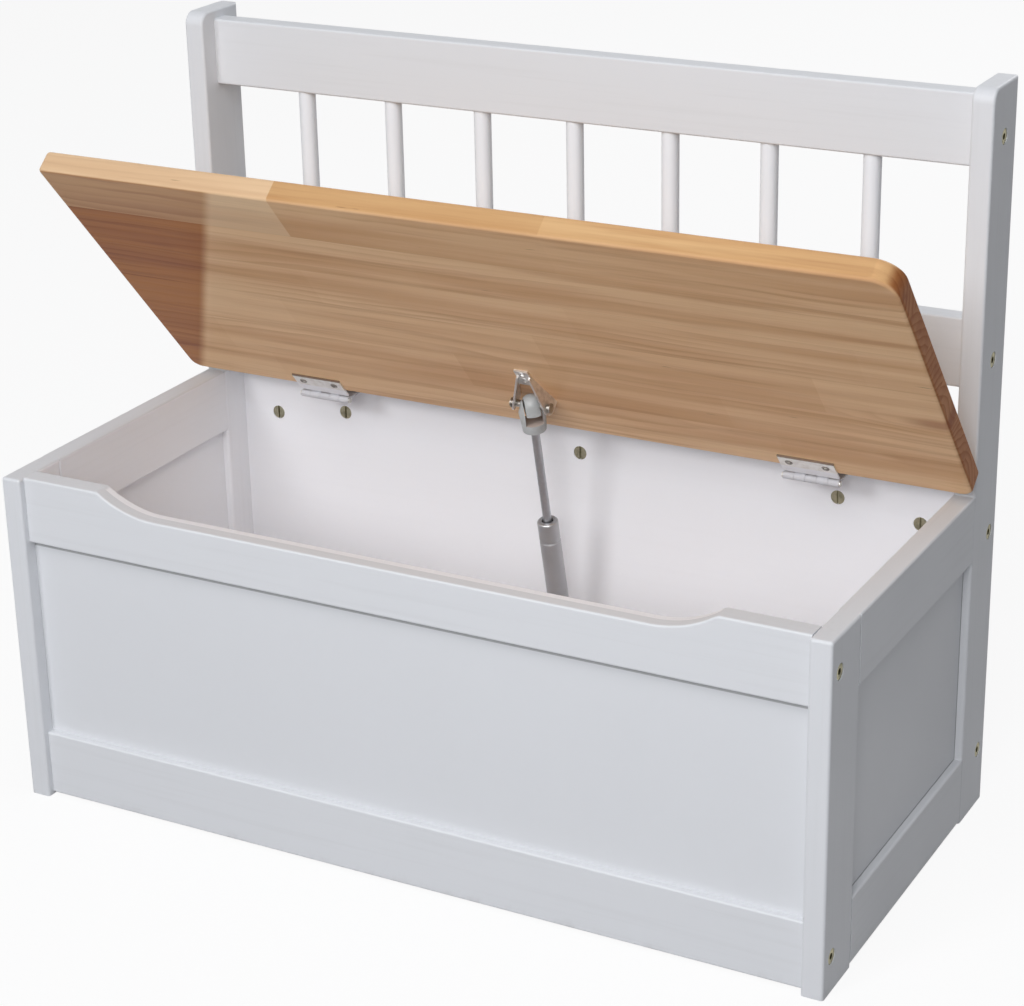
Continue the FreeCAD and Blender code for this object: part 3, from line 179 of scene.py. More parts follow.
def start_material(name, relief):
    """A material with its shader, its coordinates, and a bump that is relief metres deep."""
    material = bpy.data.materials.new(name)
    material.use_nodes = True
    tree = material.node_tree
    where = add_node(tree, "ShaderNodeTexCoord").outputs
    bump = add_node(tree, "ShaderNodeBump", {"Strength": 1.0, "Distance": relief})
    shader = tree.nodes["Principled BSDF"]
    tree.links.new(bump.outputs["Normal"], shader.inputs["Normal"])
    return material, tree, shader, where, bump


def wear_surface(tree, shader, bump, effect):
    """Lead a surface group's results to a material's shader and bump."""
    tree.links.new(effect.outputs["Color"], shader.inputs["Base Color"])
    tree.links.new(effect.outputs["Roughness"], shader.inputs["Roughness"])
    tree.links.new(effect.outputs["Height"], bump.inputs["Height"])


def lacquer(name, stretch, grain, paint, inside_light_paint=PAINTED_LIGHT_WHITE):
    """White lacquer over wood whose grain runs along the axis with the smallest stretch."""
    material, tree, shader, where, bump = start_material(name, FILM_RELIEF)
    along = add_node(tree, "ShaderNodeMapping", {"Vector": where["Object"], "Scale": stretch})
    film = add_node(tree, "ShaderNodeGroup",
                    {"Position": where["Object"], "Along Grain": along.outputs["Vector"], "Paint": paint,
                     "Inside Painted Light": inside_light_paint, "Grain": grain}, node_tree=lacquer_film)
    wear_surface(tree, shader, bump, film)
    shader.inputs["Specular IOR Level"].default_value = FILM_SHINE
    return material


def dress(material, *names):
    """Give CAD nodes a material."""
    for name in names:
        for slot in nodes[name].material_slots:
            slot.material = material


def both(stem):
    """Names of the left and right piece of a pair."""
    return stem + "_left", stem + "_right"


upright_lacquer = lacquer("upright_lacquer", GRAIN_UP, grain=1.0, paint=LACQUER_WHITE)
dress(upright_lacquer, *both("front_post"), *both("back_post"))


# Side frames
# Two pine rails a side, dowelled and glued between the posts, hold a thin panel in their grooves. The
# panels are smooth, because fibreboard has no grain, and a fine line of painted shade lies where they
# enter the grooves.

GRAIN_BACK = (260, 7, 260)
SMOOTH = (90, 90, 90)
SMOOTH_GRAIN = 0.15
GROOVE_SHADE = (0.44, 0.445, 0.455, 1)
SIDE_GROOVE_SHADE = (("Y", 0.0984, 0.0990), ("Z", 0.0498, 0.0492))


def panel_lacquer(name, shaded_along):
    """Smooth lacquer on a panel, with painted shade in the grooves past a place along each named axis."""
    material = lacquer(name, SMOOTH, SMOOTH_GRAIN, LACQUER_WHITE)
    tree = material.node_tree
    spot = axes_of(tree, tree.nodes["Texture Coordinate"].outputs["Object"])
    joint = 0
    for axis, clean, dark in shaded_along:
        past = ramp_mask(tree, calc(tree, "ABSOLUTE", spot[axis]), clean, dark)
        joint = calc(tree, "MAXIMUM", joint, past)
    groove_shaded_paint = mix_colours(tree, joint, LACQUER_WHITE, GROOVE_SHADE)
    tree.links.new(groove_shaded_paint, tree.nodes["Group"].inputs["Paint"])
    return material


sideways_lacquer = lacquer("sideways_lacquer", GRAIN_BACK, grain=1.0, paint=LACQUER_WHITE)
dress(sideways_lacquer, *both("side_top_rail"), *both("side_bottom_rail"))
dress(panel_lacquer("side_board", SIDE_GROOVE_SHADE), *both("side_panel"))


# Dowels
# Short beech dowels stand beside every bolt and in the side frames. They are raw wood with dark
# flecks, pressed into their holes with glue.

BEECH = (0.62, 0.44, 0.28, 1)
BEECH_FLECK = (0.40, 0.24, 0.14, 1)
BEECH_ROUGH = 0.7
BEECH_RELIEF = 0.0001
FLECK_STRETCH = (160, 160, 900)
FLECK_MARK = (0.55, 0.7)


def stretched_cloud(tree, position, stretch, detail):
    """Noise drawn out along a piece."""
    drawn = add_node(tree, "ShaderNodeVectorMath", {0: position, 1: stretch}, operation="MULTIPLY")
    return cloud(tree, drawn.outputs[0], scale=1, detail=detail)


beech, beech_tree, beech_shader, beech_where, beech_bump = start_material("raw_beech", BEECH_RELIEF)
flecks = stretched_cloud(beech_tree, beech_where["Object"], FLECK_STRETCH, detail=4)
flecks = ramp_mask(beech_tree, flecks, *FLECK_MARK)
beech_tree.links.new(mix_colours(beech_tree, flecks, BEECH, BEECH_FLECK), beech_shader.inputs["Base Color"])
beech_tree.links.new(flecks, beech_bump.inputs["Height"])
beech_shader.inputs["Roughness"].default_value = BEECH_ROUGH
dress(beech, *both("side_dowels"), *both("rail_dowels"))


# Front rails and panel
# The front is a scooped top rail and a plain bottom rail of pine with a fibreboard panel between
# them. The scoop leaves room for the fingers under the closed lid.

GRAIN_ACROSS = (7, 260, 260)
FRONT_GROOVE_SHADE = (("Z", 0.1888, 0.1894),)

across_lacquer = lacquer("across_lacquer", GRAIN_ACROSS, grain=1.0, paint=LACQUER_WHITE)
dress(across_lacquer, "front_top_rail", "front_bottom_rail")
# A fine line of painted shade lies on the panel under the top rail's lower edge.
dress(panel_lacquer("front_board", FRONT_GROOVE_SHADE), "front_panel")


# Back wall and floor
# The back wall is a lacquered board across the full height of the chest, and the floor is a thin
# board in a groove all round. Both are painted the lighter white of the inside: painted light.

BOARD_GRAIN = 0.3

painted_light_board = lacquer("painted_light_board", GRAIN_ACROSS, BOARD_GRAIN, PAINTED_LIGHT_WHITE)
dress(painted_light_board, "back_wall", "floor_panel")


# Back rest
# Two pine rails between the tall posts hold seven turned spindles by their tenons. The spindles are
# painted a little whiter than the rails: painted light.

SPINDLE_PAINTED_LIGHT = (0.90, 0.935, 0.98, 1)
SPINDLES = ["spindle_%d" % (n + 1) for n in range(7)]

dress(across_lacquer, "backrest_top_rail", "backrest_middle_rail")
painted_light_upright = lacquer("painted_light_upright", GRAIN_UP, grain=1.0, paint=SPINDLE_PAINTED_LIGHT)
dress(painted_light_upright, *SPINDLES)


# Connector bolts and barrel nuts
# Socket head bolts go through the posts into barrel nuts in the cross pieces. Both are steel with
# yellow zinc plating, blotched in tone. The bolts take a darker, olive copy of it: painted shade.

BRASS_ZINC = (0.50, 0.47, 0.335, 1)
BRASS_BLOTCH = (0.31, 0.30, 0.215, 1)
SHADED_OLIVE_ZINC = (0.33, 0.30, 0.17, 1)
SHADED_OLIVE_BLOTCH = (0.15, 0.14, 0.08, 1)
BLOTCH_SCALE = 240
BLOTCH_MARK = (0.35, 0.7)
PLATING_UNEVEN = 0.08
PLATING_RELIEF = 0.00002
UNBRUSHED = (900, 900, 900)

plating, plating_in, plating_out = start_group(
    "plating",
    (("Position", "Vector"), ("Brushed", "Vector"), ("Metal", "Color"), ("Tarnish", "Color"),
     ("Base Roughness", "Float")), SURFACE)
blotches = cloud(plating, plating_in.outputs["Position"], BLOTCH_SCALE, detail=5)
blotches = ramp_mask(plating, blotches, *BLOTCH_MARK)
brushing = cloud(plating, plating_in.outputs["Brushed"], scale=1, detail=4)
uneven = calc(plating, "ADD", blotches, brushing)
plating_rough = calc(plating, "MULTIPLY_ADD", uneven, PLATING_UNEVEN, plating_in.outputs["Base Roughness"])
plating_colour = mix_colours(plating, blotches, plating_in.outputs["Metal"], plating_in.outputs["Tarnish"])
give_surface(plating, plating_out, plating_colour, plating_rough, brushing)


def plated(name, metal, tarnish, roughness, stretch):
    """Plated steel, brushed along the axis with the smallest stretch."""
    material, tree, shader, where, bump = start_material(name, PLATING_RELIEF)
    brushed = add_node(tree, "ShaderNodeMapping", {"Vector": where["Object"], "Scale": stretch})
    film = add_node(tree, "ShaderNodeGroup",
                    {"Position": where["Object"], "Brushed": brushed.outputs["Vector"], "Metal": metal,
                     "Tarnish": tarnish, "Base Roughness": roughness}, node_tree=plating)
    wear_surface(tree, shader, bump, film)
    shader.inputs["Metallic"].default_value = 1.0
    return material


yellow_zinc = plated("yellow_zinc", BRASS_ZINC, BRASS_BLOTCH, roughness=0.36, stretch=UNBRUSHED)
shaded_olive_zinc = plated("shaded_olive_zinc", SHADED_OLIVE_ZINC, SHADED_OLIVE_BLOTCH, roughness=0.3, stretch=UNBRUSHED)
dress(yellow_zinc, *both("barrel_nuts"), "ledge_nuts")
dress(shaded_olive_zinc, *both("connector_bolts"), "ledge_bolts")


# Hinge ledge
# A fixed pine strip behind the lid, bolted down on the top edge of the back wall. The hinges are
# screwed to its underside.

dress(across_lacquer, "hinge_ledge")


# Hinges
# Two small butt hinges of nickel plated sheet, each with a leaf under the lid, a leaf under the
# ledge, and a steel pin through the rolled knuckles. The lacquer of the chest was sprayed over the
# knuckles, and only the end of the leaf under the lid is bare. The knuckles and the ledge leaf take
# a greyer white, painted shade under the lid's edge, the plate between takes the lighter inside white,
# painted light, and a dark line along the leaf's end is a painted shadow.

NICKEL = (0.74, 0.72, 0.68, 1)
NICKEL_DULL = (0.62, 0.60, 0.56, 1)
NICKEL_ROUGH = 0.34
BRUSHED_ACROSS = (60, 1400, 1400)
BRIGHT_LEAF = (0.95, 0.94, 0.91, 1)
DULL_LEAF = (0.84, 0.82, 0.78, 1)
EDGE_SHADE = (0.30, 0.24, 0.19, 1)
LEAF_WIDTH = 0.0225
LEAF_EDGE = 0.0006
BARE_LEAF = (0.0105, 0.0111)
KNUCKLE_REACH = (0.003, 0.0045)
# A greyer white on the knuckles and the ledge leaf: painted shade.
SHADED_SPRAY_WHITE = (0.62, 0.615, 0.64, 1)
SPRAYED_ROUGH = 0.65
SPRAYED_SHINE = 0.1
SPRAY_SCALE = 500
SPRAY_WANDER = 0.0008

hinge_spot = Vector(joints["lid_hinge"]["pos_m"])
lid_opening = math.radians(joints["lid_hinge"]["range_deg"][1])


def in_lid_frame(tree, place):
    """Place on the lid, measured from the hinge line along the closed lid."""
    turned_back = add_node(tree, "ShaderNodeMapping",
                           {"Vector": place, "Location": hinge_spot, "Rotation": (-lid_opening, 0, 0)},
                           vector_type="TEXTURE")
    return turned_back.outputs["Vector"]


nickel = plated("nickel", NICKEL, NICKEL_DULL, NICKEL_ROUGH, BRUSHED_ACROSS)
dress(nickel, *both("hinge_pin"))

oversprayed = plated("oversprayed_nickel", BRIGHT_LEAF, DULL_LEAF, NICKEL_ROUGH, BRUSHED_ACROSS)
spray_tree = oversprayed.node_tree
spray_shader = spray_tree.nodes["Principled BSDF"]
spray_place = spray_tree.nodes["Texture Coordinate"].outputs["Object"]
leaf_metal = spray_tree.nodes["Group"].outputs
leaf_wander = calc(spray_tree, "MULTIPLY", cloud(spray_tree, spray_place, SPRAY_SCALE), SPRAY_WANDER)
leaf_spot = axes_of(spray_tree, in_lid_frame(spray_tree, spray_place))
leaf_reach = calc(spray_tree, "SUBTRACT", leaf_wander, leaf_spot["Y"])
bare = ramp_mask(spray_tree, leaf_reach, *BARE_LEAF)
# A dark line along the bare leaf's end edge: a painted shadow.
leaf_end_shadow = ramp_mask(spray_tree, leaf_reach, LEAF_WIDTH - 2 * LEAF_EDGE, LEAF_WIDTH - LEAF_EDGE)
bare_metal = mix_colours(spray_tree, leaf_end_shadow, leaf_metal["Color"], EDGE_SHADE)
past_knuckle = ramp_mask(spray_tree, leaf_reach, *KNUCKLE_REACH)
overspray = mix_colours(spray_tree, past_knuckle, SHADED_SPRAY_WHITE, PAINTED_LIGHT_WHITE)
leaf_colour = mix_colours(spray_tree, bare, overspray, bare_metal)
leaf_rough = add_node(spray_tree, "ShaderNodeMix", {0: bare, 2: SPRAYED_ROUGH, 3: leaf_metal["Roughness"]})
spray_tree.links.new(leaf_colour, spray_shader.inputs["Base Color"])
spray_tree.links.new(bare, spray_shader.inputs["Metallic"])
spray_tree.links.new(leaf_rough.outputs[0], spray_shader.inputs["Roughness"])
spray_shader.inputs["Specular IOR Level"].default_value = SPRAYED_SHINE
dress(oversprayed, *both("hinge_lid_leaf"))
sprayed = lacquer("sprayed_leaf", SMOOTH, SMOOTH_GRAIN, SHADED_SPRAY_WHITE, SHADED_SPRAY_WHITE)
dress(sprayed, *both("hinge_ledge_leaf"))


# Hinge screws
# Countersunk wood screws with a cross recess, turned, stamped and nickel plated. Each leaf is held
# by two of them.

SCREW_SIDES = 32
SCREW_HEAD = 0.0056
SCREW_SHANK = 0.003
SCREW_LENGTH = 0.011
SCREW_TIP = 0.003
TIP_SHARE = 0.15
HEAD_RIM = 0.0004
RECESS_ARM = 0.0009
RECESS_REACH = 0.0032
RECESS_DEPTH = 0.0009
RECESS_TAPER = 0.6
SCREW_EASE = 0.00008
SCREW_ANGLE = math.radians(35)
SCREW_TURN = 1.1
LEAF = 0.0012
KNUCKLE = 0.005
LID_GAP = 0.0004
HINGE_X = 0.19
LEAF_SCREW_SPREAD = 0.026
LID_LEAF_SCREW = 0.0155
LEDGE_LEAF_SCREW = 0.017
LID_UNDER = KNUCKLE / 2 + LID_GAP
LEAF_SCREWS = [side * HINGE_X + end * LEAF_SCREW_SPREAD / 2 for side in (-1, 1) for end in (-1, 1)]
DULL_NICKEL = (0.48, 0.45, 0.41, 1)
DARK_NICKEL = (0.30, 0.28, 0.25, 1)
UP = Vector((0, 0, 1))
FACING_SHARE = 0.9

on_hinge_line = Matrix.Translation(hinge_spot)
open_with_lid = on_hinge_line @ Matrix.Rotation(-lid_opening, 4, "X")


def deselect():
    """Leave edit mode and select nothing."""
    if bpy.context.object and bpy.context.object.mode != "OBJECT":
        bpy.ops.object.mode_set(mode="OBJECT")
    bpy.ops.object.select_all(action="DESELECT")


def pick_faces(piece, direction):
    """Select the faces of a piece that look in a direction, and stay in edit mode."""
    bpy.ops.object.mode_set(mode="EDIT")
    bpy.ops.mesh.select_mode(type="FACE")
    bpy.ops.mesh.select_all(action="DESELECT")
    bpy.ops.object.mode_set(mode="OBJECT")
    for face in piece.data.polygons:
        face.select = face.normal.dot(direction) > FACING_SHARE
    bpy.ops.object.mode_set(mode="EDIT")


def push_faces(step):
    """Extrude the selected faces by a step."""
    bpy.ops.mesh.extrude_region_move(TRANSFORM_OT_translate={"value": step})


def widen_faces(share, height):
    """Scale the selected faces across Z, about the Z axis at a height."""
    bpy.ops.transform.resize(value=(share, share, 1), center_override=(0, 0, height))


def cut_away(piece, tool):
    """Cut one piece out of another, and delete the tool."""
    deselect()
    bpy.context.view_layer.objects.active = piece
    piece.select_set(True)
    bpy.ops.object.modifier_add(type="BOOLEAN")
    cutting = piece.modifiers[-1]
    cutting.operation = "DIFFERENCE"
    cutting.solver = "EXACT"
    cutting.object = tool
    bpy.ops.object.modifier_apply(modifier=cutting.name)
    bpy.data.objects.remove(tool)


def round_edges(piece, width, segments, angle):
    """Bevel every edge sharper than an angle, and shade the piece smooth up to it."""
    deselect()
    bpy.context.view_layer.objects.active = piece
    piece.select_set(True)
    bpy.ops.object.modifier_add(type="BEVEL")
    easing = piece.modifiers[-1]
    easing.width = width
    easing.segments = segments
    easing.limit_method = "ANGLE"
    easing.angle_limit = angle
    bpy.ops.object.modifier_apply(modifier=easing.name)
    bpy.ops.object.shade_smooth_by_angle(angle=angle)


deselect()
bpy.ops.mesh.primitive_cylinder_add(vertices=SCREW_SIDES, radius=SCREW_HEAD / 2, depth=LEAF,
                                    location=(0, 0, LEAF / 2))
wood_screw = bpy.context.object
wood_screw.name = "wood_screw"
bpy.ops.object.transform_apply()
pick_faces(wood_screw, UP)
widen_faces(SCREW_SHANK / SCREW_HEAD, LEAF)
push_faces((0, 0, SCREW_LENGTH - SCREW_TIP))
push_faces((0, 0, SCREW_TIP))
widen_faces(TIP_SHARE, LEAF + SCREW_LENGTH)
pick_faces(wood_screw, -UP)
bpy.ops.mesh.inset(thickness=HEAD_RIM)
bpy.ops.transform.translate(value=(0, 0, -HEAD_RIM))

deselect()
bpy.ops.mesh.primitive_cube_add(size=RECESS_ARM, location=(0, 0, 0))
recess = bpy.context.object
arm_run = (RECESS_REACH - RECESS_ARM) / 2
for arm in (Vector((1, 0, 0)), Vector((-1, 0, 0)), Vector((0, 1, 0)), Vector((0, -1, 0))):
    pick_faces(recess, arm)
    push_faces(arm * arm_run)
pick_faces(recess, UP)
bpy.ops.transform.translate(value=(0, 0, RECESS_DEPTH - RECESS_ARM / 2))
widen_faces(RECESS_TAPER, RECESS_DEPTH)
cut_away(wood_screw, recess)
round_edges(wood_screw, SCREW_EASE, segments=2, angle=SCREW_ANGLE)


def screws(name, node, body, material, places):
    """Copies of the wood screw at their places, as one piece that stands for a CAD node."""
    deselect()
    for n, place in enumerate(places):
        copy = wood_screw.copy()
        copy.data = wood_screw.data.copy()
        copy.data.transform(place @ Matrix.Rotation(n * SCREW_TURN, 4, "Z"))
        bpy.context.collection.objects.link(copy)
        copy.select_set(True)
        bpy.context.view_layer.objects.active = copy
    bpy.ops.object.join()
    piece = bpy.context.object
    piece.name = name
    piece.data.materials.clear()
    piece.data.materials.append(material)
    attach(piece, body)
    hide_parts(node)


lid_leaf_places = [open_with_lid @ Matrix.Translation((x, -LID_LEAF_SCREW, LID_UNDER - LEAF))
                   for x in LEAF_SCREWS]
ledge_leaf_places = [on_hinge_line @ Matrix.Translation((x, LEDGE_LEAF_SCREW, KNUCKLE / 2 - LEAF))
                     for x in LEAF_SCREWS]
dull_nickel = plated("dull_nickel", DULL_NICKEL, DARK_NICKEL, roughness=0.26, stretch=UNBRUSHED)
screws("lid_leaf_screws", "hinge_screws_lid", "lid_assembly", dull_nickel, lid_leaf_places)
screws("ledge_leaf_screws", "hinge_screws_ledge", "carcass", dull_nickel, ledge_leaf_places)


# Lid
# A board of six edge-glued pine staves, each finger-jointed from short lengths, planed, rounded at
# its corners and clear varnished. Under the left end the underside is painted darker and redder,
# painted shade where the varnish's reflection ends. The left length of the front stave is paler than
# the rest, and the front edge face is painted darker and warmer, painted shade.

STAVES = 6
GLUED_WIDTH = 0.25
STAVE_WIDTH = GLUED_WIDTH / STAVES
STAVE_START = 0.008
STAVE_RUN = 0.196
MOST_RUNS = 4
FIRST_JOINTS = (0.45, 0.30, 0.68, 0.87, 0.36, 0.93)
STAVE_SEED = 7.31
RUN_SEED = 3.17
LID_HALF = 0.3035
PITH_SPREAD = 0.2
PITH_NEAR = -0.016
PITH_DEPTH = 0.05
PITH_TILT = 0.03
RING_SPACING = 0.0056
RING_SHARPNESS = 2.4
RING_END = (1.0, 0.86)
RING_WANDER = 0.013
RING_FADE = (0.42, 0.68)
RING_FAINT = 0.06
RING_GAIN = 0.46
EARLYWOOD = (0.885, 0.605, 0.355, 1)
MIDWOOD = (0.705, 0.41, 0.21, 1)
LATEWOOD = (0.47, 0.215, 0.09, 1)
SAPWOOD = (1.0, 1.0, 1.0, 1)
HEARTWOOD = (0.86, 0.78, 0.70, 1)
HEART_SHARE = 0.5
BAND_MARK = (0.34, 0.68)
BAND_SHARE = 0.88
STREAK_MARK = (0.50, 0.76)
STREAK_SHARE = 0.47
FIBRE_MARK = (0.45, 0.75)
FIBRE_SHARE = 0.1
FIBRE_RELIEF = 0.6
FRONT_JOINTS = (-0.1212, 0.0748)
FINGER_JOINT = 0.0006
FRONT_LENGTH = (0.90, 0.855, 0.81, 1)
FRONT_EDGE_SHADE = (0.955, 0.945, 0.84, 1)
PALE_LENGTH = (0.98, 0.80, 0.55, 1)
PALE_SHARE = 0.32
UNDER_SHARE = 0.25
RED_END_SHADE = (0.50, 0.265, 0.085, 1)
RED_SHADE_SLOPE = 0.52
RED_SHADE_START = -0.3003
RED_SHADE_BLUR = 0.005
RED_SHADE_FRONT_LOSS = 0.4
RED_SHADE_STREAK_MARK = (0.46, 0.62)
RED_SHADE_RING_MARK = (0.2, 0.9)
RED_SHADE_GRAIN_SHARE = 0.5
END_GRAIN = (0.56, 0.36, 0.25, 1)
END_MARK = (0.55, 0.85)
END_RING_SHARE = 0.7
TURNED = 0.4
KNOT = (0.36, 0.13, 0.055, 1)
KNOT_SPOT = (0.299, 0.097)
KNOT_REACH = (0.030, 0.008)
KNOT_HALO = (2.6, 0.4)
KNOT_CORE = (1.1, 0.2)
KNOT_SHARE = 0.6
KNOT_PULL = 0.009
RESIN = (0.24, 0.12, 0.05, 1)
RESIN_MARK = (0.755, 0.80)
RESIN_SHARE = 0.6
GLUE_LINE = (0.0005, 0.0001)
GLUE_SHARE = 0.12
VARNISH_ROUGH = 0.36
END_ROUGH = 0.2
RING_ROUGH = 0.08
VARNISH_SHINE = 0.16
VARNISH_RELIEF = 0.00004

pine_staves, pine_in, pine_out = start_group(
    "pine_staves", (("Lid Position", "Vector"), ("Facing", "Vector")), SURFACE)


def pine_step(operation, *values):
    """One step of arithmetic in the pine's group."""
    return calc(pine_staves, operation, *values)


def pine_mask(value, low, high):
    """A smooth rise from 0 to 1 in the pine's group."""
    return ramp_mask(pine_staves, value, low, high)


def pine_mix(share, first, second, blend_type="MIX"):
    """A blend of two colours in the pine's group."""
    return mix_colours(pine_staves, share, first, second, blend_type)


def pine_span(first, second):
    """How far apart two places are, from their distances along two axes."""
    return pine_step("SQRT", pine_step("ADD", pine_step("POWER", first, 2), pine_step("POWER", second, 2)))


def stained(colour, mark, share, stain):
    """A colour that takes a share of a stain where it is marked."""
    return pine_mix(pine_step("MULTIPLY", mark, share), colour, stain)


lid_spot = axes_of(pine_staves, pine_in.outputs["Lid Position"])
facing = axes_of(pine_staves, pine_in.outputs["Facing"])
lid_x = lid_spot["X"]
forward = pine_step("MULTIPLY", lid_spot["Y"], -1)

stave = pine_step("DIVIDE", pine_step("SUBTRACT", forward, STAVE_START), STAVE_WIDTH)
stave = pine_step("MAXIMUM", pine_step("FLOOR", stave), 0)
stave = pine_step("MINIMUM", stave, STAVES - 1)
front_stave = pine_step("GREATER_THAN", stave, STAVES - 1.5)
joint_table = add_node(pine_staves, "ShaderNodeValToRGB",
                       {"Fac": pine_step("DIVIDE", pine_step("ADD", stave, 0.5), STAVES)})
joint_table.color_ramp.interpolation = "CONSTANT"
stops = joint_table.color_ramp.elements
for n, share in enumerate(FIRST_JOINTS):
    stop = stops[0] if n == 0 else stops.new(n / STAVES)
    stop.color = (share, share, share, 1)
stops.remove(stops[-1])
run = pine_step("DIVIDE", pine_step("ADD", lid_x, LID_HALF), STAVE_RUN)
run = pine_step("FLOOR", pine_step("SUBTRACT", run, joint_table.outputs["Color"]))
last_run = pine_step("SUBTRACT", MOST_RUNS, pine_step("MULTIPLY", front_stave, MOST_RUNS - 1))
run = pine_step("MINIMUM", run, last_run)
stave_seed = pine_step("MULTIPLY", stave, STAVE_SEED)
run_seed = pine_step("ADD", stave_seed, pine_step("MULTIPLY", run, RUN_SEED))
run_chance = add_node(pine_staves, "ShaderNodeTexWhiteNoise", {"W": run_seed}, noise_dimensions="1D")
stave_chance = add_node(pine_staves, "ShaderNodeTexWhiteNoise", {"W": stave_seed}, noise_dimensions="1D")
chances = axes_of(pine_staves, stave_chance.outputs["Color"])
own_place = add_node(pine_staves, "ShaderNodeVectorMath",
                     {0: pine_in.outputs["Lid Position"], 1: stave_chance.outputs["Color"]}, operation="ADD")


def pine_cloud(stretch, detail):
    """Noise drawn out along the grain, different in each stave."""
    return stretched_cloud(pine_staves, own_place.outputs[0], stretch, detail)


wander = pine_cloud((6, 24, 24), detail=3)
fibres = pine_cloud((30, 900, 900), detail=4)
streaks = pine_cloud((5, 130, 130), detail=4)
bands = pine_cloud((2.6, 50, 50), detail=4)
resin_marks = pine_mask(pine_cloud((30, 330, 330), detail=2), *RESIN_MARK)
fade = pine_mask(pine_cloud((4, 40, 40), detail=3), *RING_FADE)

stave_middle = pine_step("MULTIPLY_ADD", stave, STAVE_WIDTH, STAVE_START + STAVE_WIDTH / 2)
pith_side = pine_step("MULTIPLY_ADD", pine_step("SUBTRACT", chances["X"], 0.5), PITH_SPREAD, stave_middle)
pith_depth = pine_step("SUBTRACT", PITH_NEAR, pine_step("MULTIPLY", chances["Y"], PITH_DEPTH))
pith_rise = pine_step("MULTIPLY", pine_step("SUBTRACT", chances["Z"], 0.5), PITH_TILT)
from_side = pine_step("SUBTRACT", forward, pith_side)
from_pith = pine_step("MULTIPLY_ADD", pith_rise, lid_x, pine_step("SUBTRACT", lid_spot["Z"], pith_depth))
knot_x = pine_step("DIVIDE", pine_step("SUBTRACT", lid_x, KNOT_SPOT[0]), KNOT_REACH[0])
knot_y = pine_step("DIVIDE", pine_step("SUBTRACT", forward, KNOT_SPOT[1]), KNOT_REACH[1])
knot_away = pine_span(knot_x, knot_y)
ring_radius = pine_step("MULTIPLY_ADD", wander, RING_WANDER, pine_span(from_side, from_pith))
ring_radius = pine_step("MULTIPLY_ADD", pine_mask(knot_away, *KNOT_HALO), KNOT_PULL, ring_radius)
ring_share = pine_step("FRACT", pine_step("DIVIDE", ring_radius, RING_SPACING))
ring_dark = pine_step("POWER", ring_share, RING_SHARPNESS)
ring_dark = pine_step("MULTIPLY", ring_dark, pine_mask(ring_share, *RING_END))
ring_mark = pine_step("MULTIPLY", ring_dark, pine_step("MULTIPLY_ADD", fade, RING_GAIN, RING_FAINT))

wood = stained(EARLYWOOD, pine_mask(bands, *BAND_MARK), BAND_SHARE, MIDWOOD)
wood = pine_mix(ring_mark, wood, LATEWOOD)
wood = stained(wood, pine_mask(streaks, *STREAK_MARK), STREAK_SHARE, LATEWOOD)
wood = stained(wood, pine_mask(fibres, *FIBRE_MARK), FIBRE_SHARE, LATEWOOD)
length_tone = stained(SAPWOOD, run_chance.outputs["Value"], HEART_SHARE, HEARTWOOD)
wood = pine_mix(1.0, wood, length_tone, "MULTIPLY")

front_edge = pine_step("MULTIPLY", front_stave, pine_mask(facing["Y"], 0, -TURNED))
front_edge = pine_step("MULTIPLY", front_edge, pine_mask(facing["Z"], 0, TURNED))
pale_length = pine_mask(lid_x, FRONT_JOINTS[0] + FINGER_JOINT, FRONT_JOINTS[0])
pale_length = pine_step("MULTIPLY", pale_length, front_stave)
wood = stained(wood, pale_length, PALE_SHARE, PALE_LENGTH)
front_length = pine_mask(lid_x, FRONT_JOINTS[0], FRONT_JOINTS[0] + FINGER_JOINT)
front_length = pine_step("MULTIPLY", front_length,
                         pine_mask(lid_x, FRONT_JOINTS[1], FRONT_JOINTS[1] - FINGER_JOINT))
front_length = pine_step("MULTIPLY", front_length, front_stave)
length_share = pine_step("MULTIPLY_ADD", front_edge, 1 - UNDER_SHARE, UNDER_SHARE)
wood = pine_mix(pine_step("MULTIPLY", front_length, length_share), wood, FRONT_LENGTH, "MULTIPLY")
# The front edge face is painted darker and warmer: painted shade.
edge_shade = pine_step("MULTIPLY", front_edge, pine_step("SUBTRACT", 1.0, pale_length))
wood = pine_mix(edge_shade, wood, FRONT_EDGE_SHADE, "MULTIPLY")

# The darker, redder zone at the left end of the underside is painted shade, where the varnish's reflection
# ends.
red_shade_until = pine_step("MULTIPLY_ADD", forward, RED_SHADE_SLOPE, RED_SHADE_START)
red_end_shade = pine_mask(pine_step("SUBTRACT", lid_x, red_shade_until), RED_SHADE_BLUR, -RED_SHADE_BLUR)
red_end_shade = pine_step("MULTIPLY", red_end_shade, pine_mask(facing["Z"], 0, -TURNED))
red_end_shade = pine_step("MULTIPLY", red_end_shade, pine_step("MULTIPLY_ADD", front_stave, -RED_SHADE_FRONT_LOSS, 1.0))
red_shade_grain = pine_mask(streaks, *RED_SHADE_STREAK_MARK)
red_shade_grain = pine_step("MULTIPLY", red_shade_grain, pine_mask(ring_share, *RED_SHADE_RING_MARK))
wood = stained(wood, pine_step("MULTIPLY", red_shade_grain, red_end_shade), RED_SHADE_GRAIN_SHARE, LATEWOOD)
wood = pine_mix(red_end_shade, wood, RED_END_SHADE, "MULTIPLY")

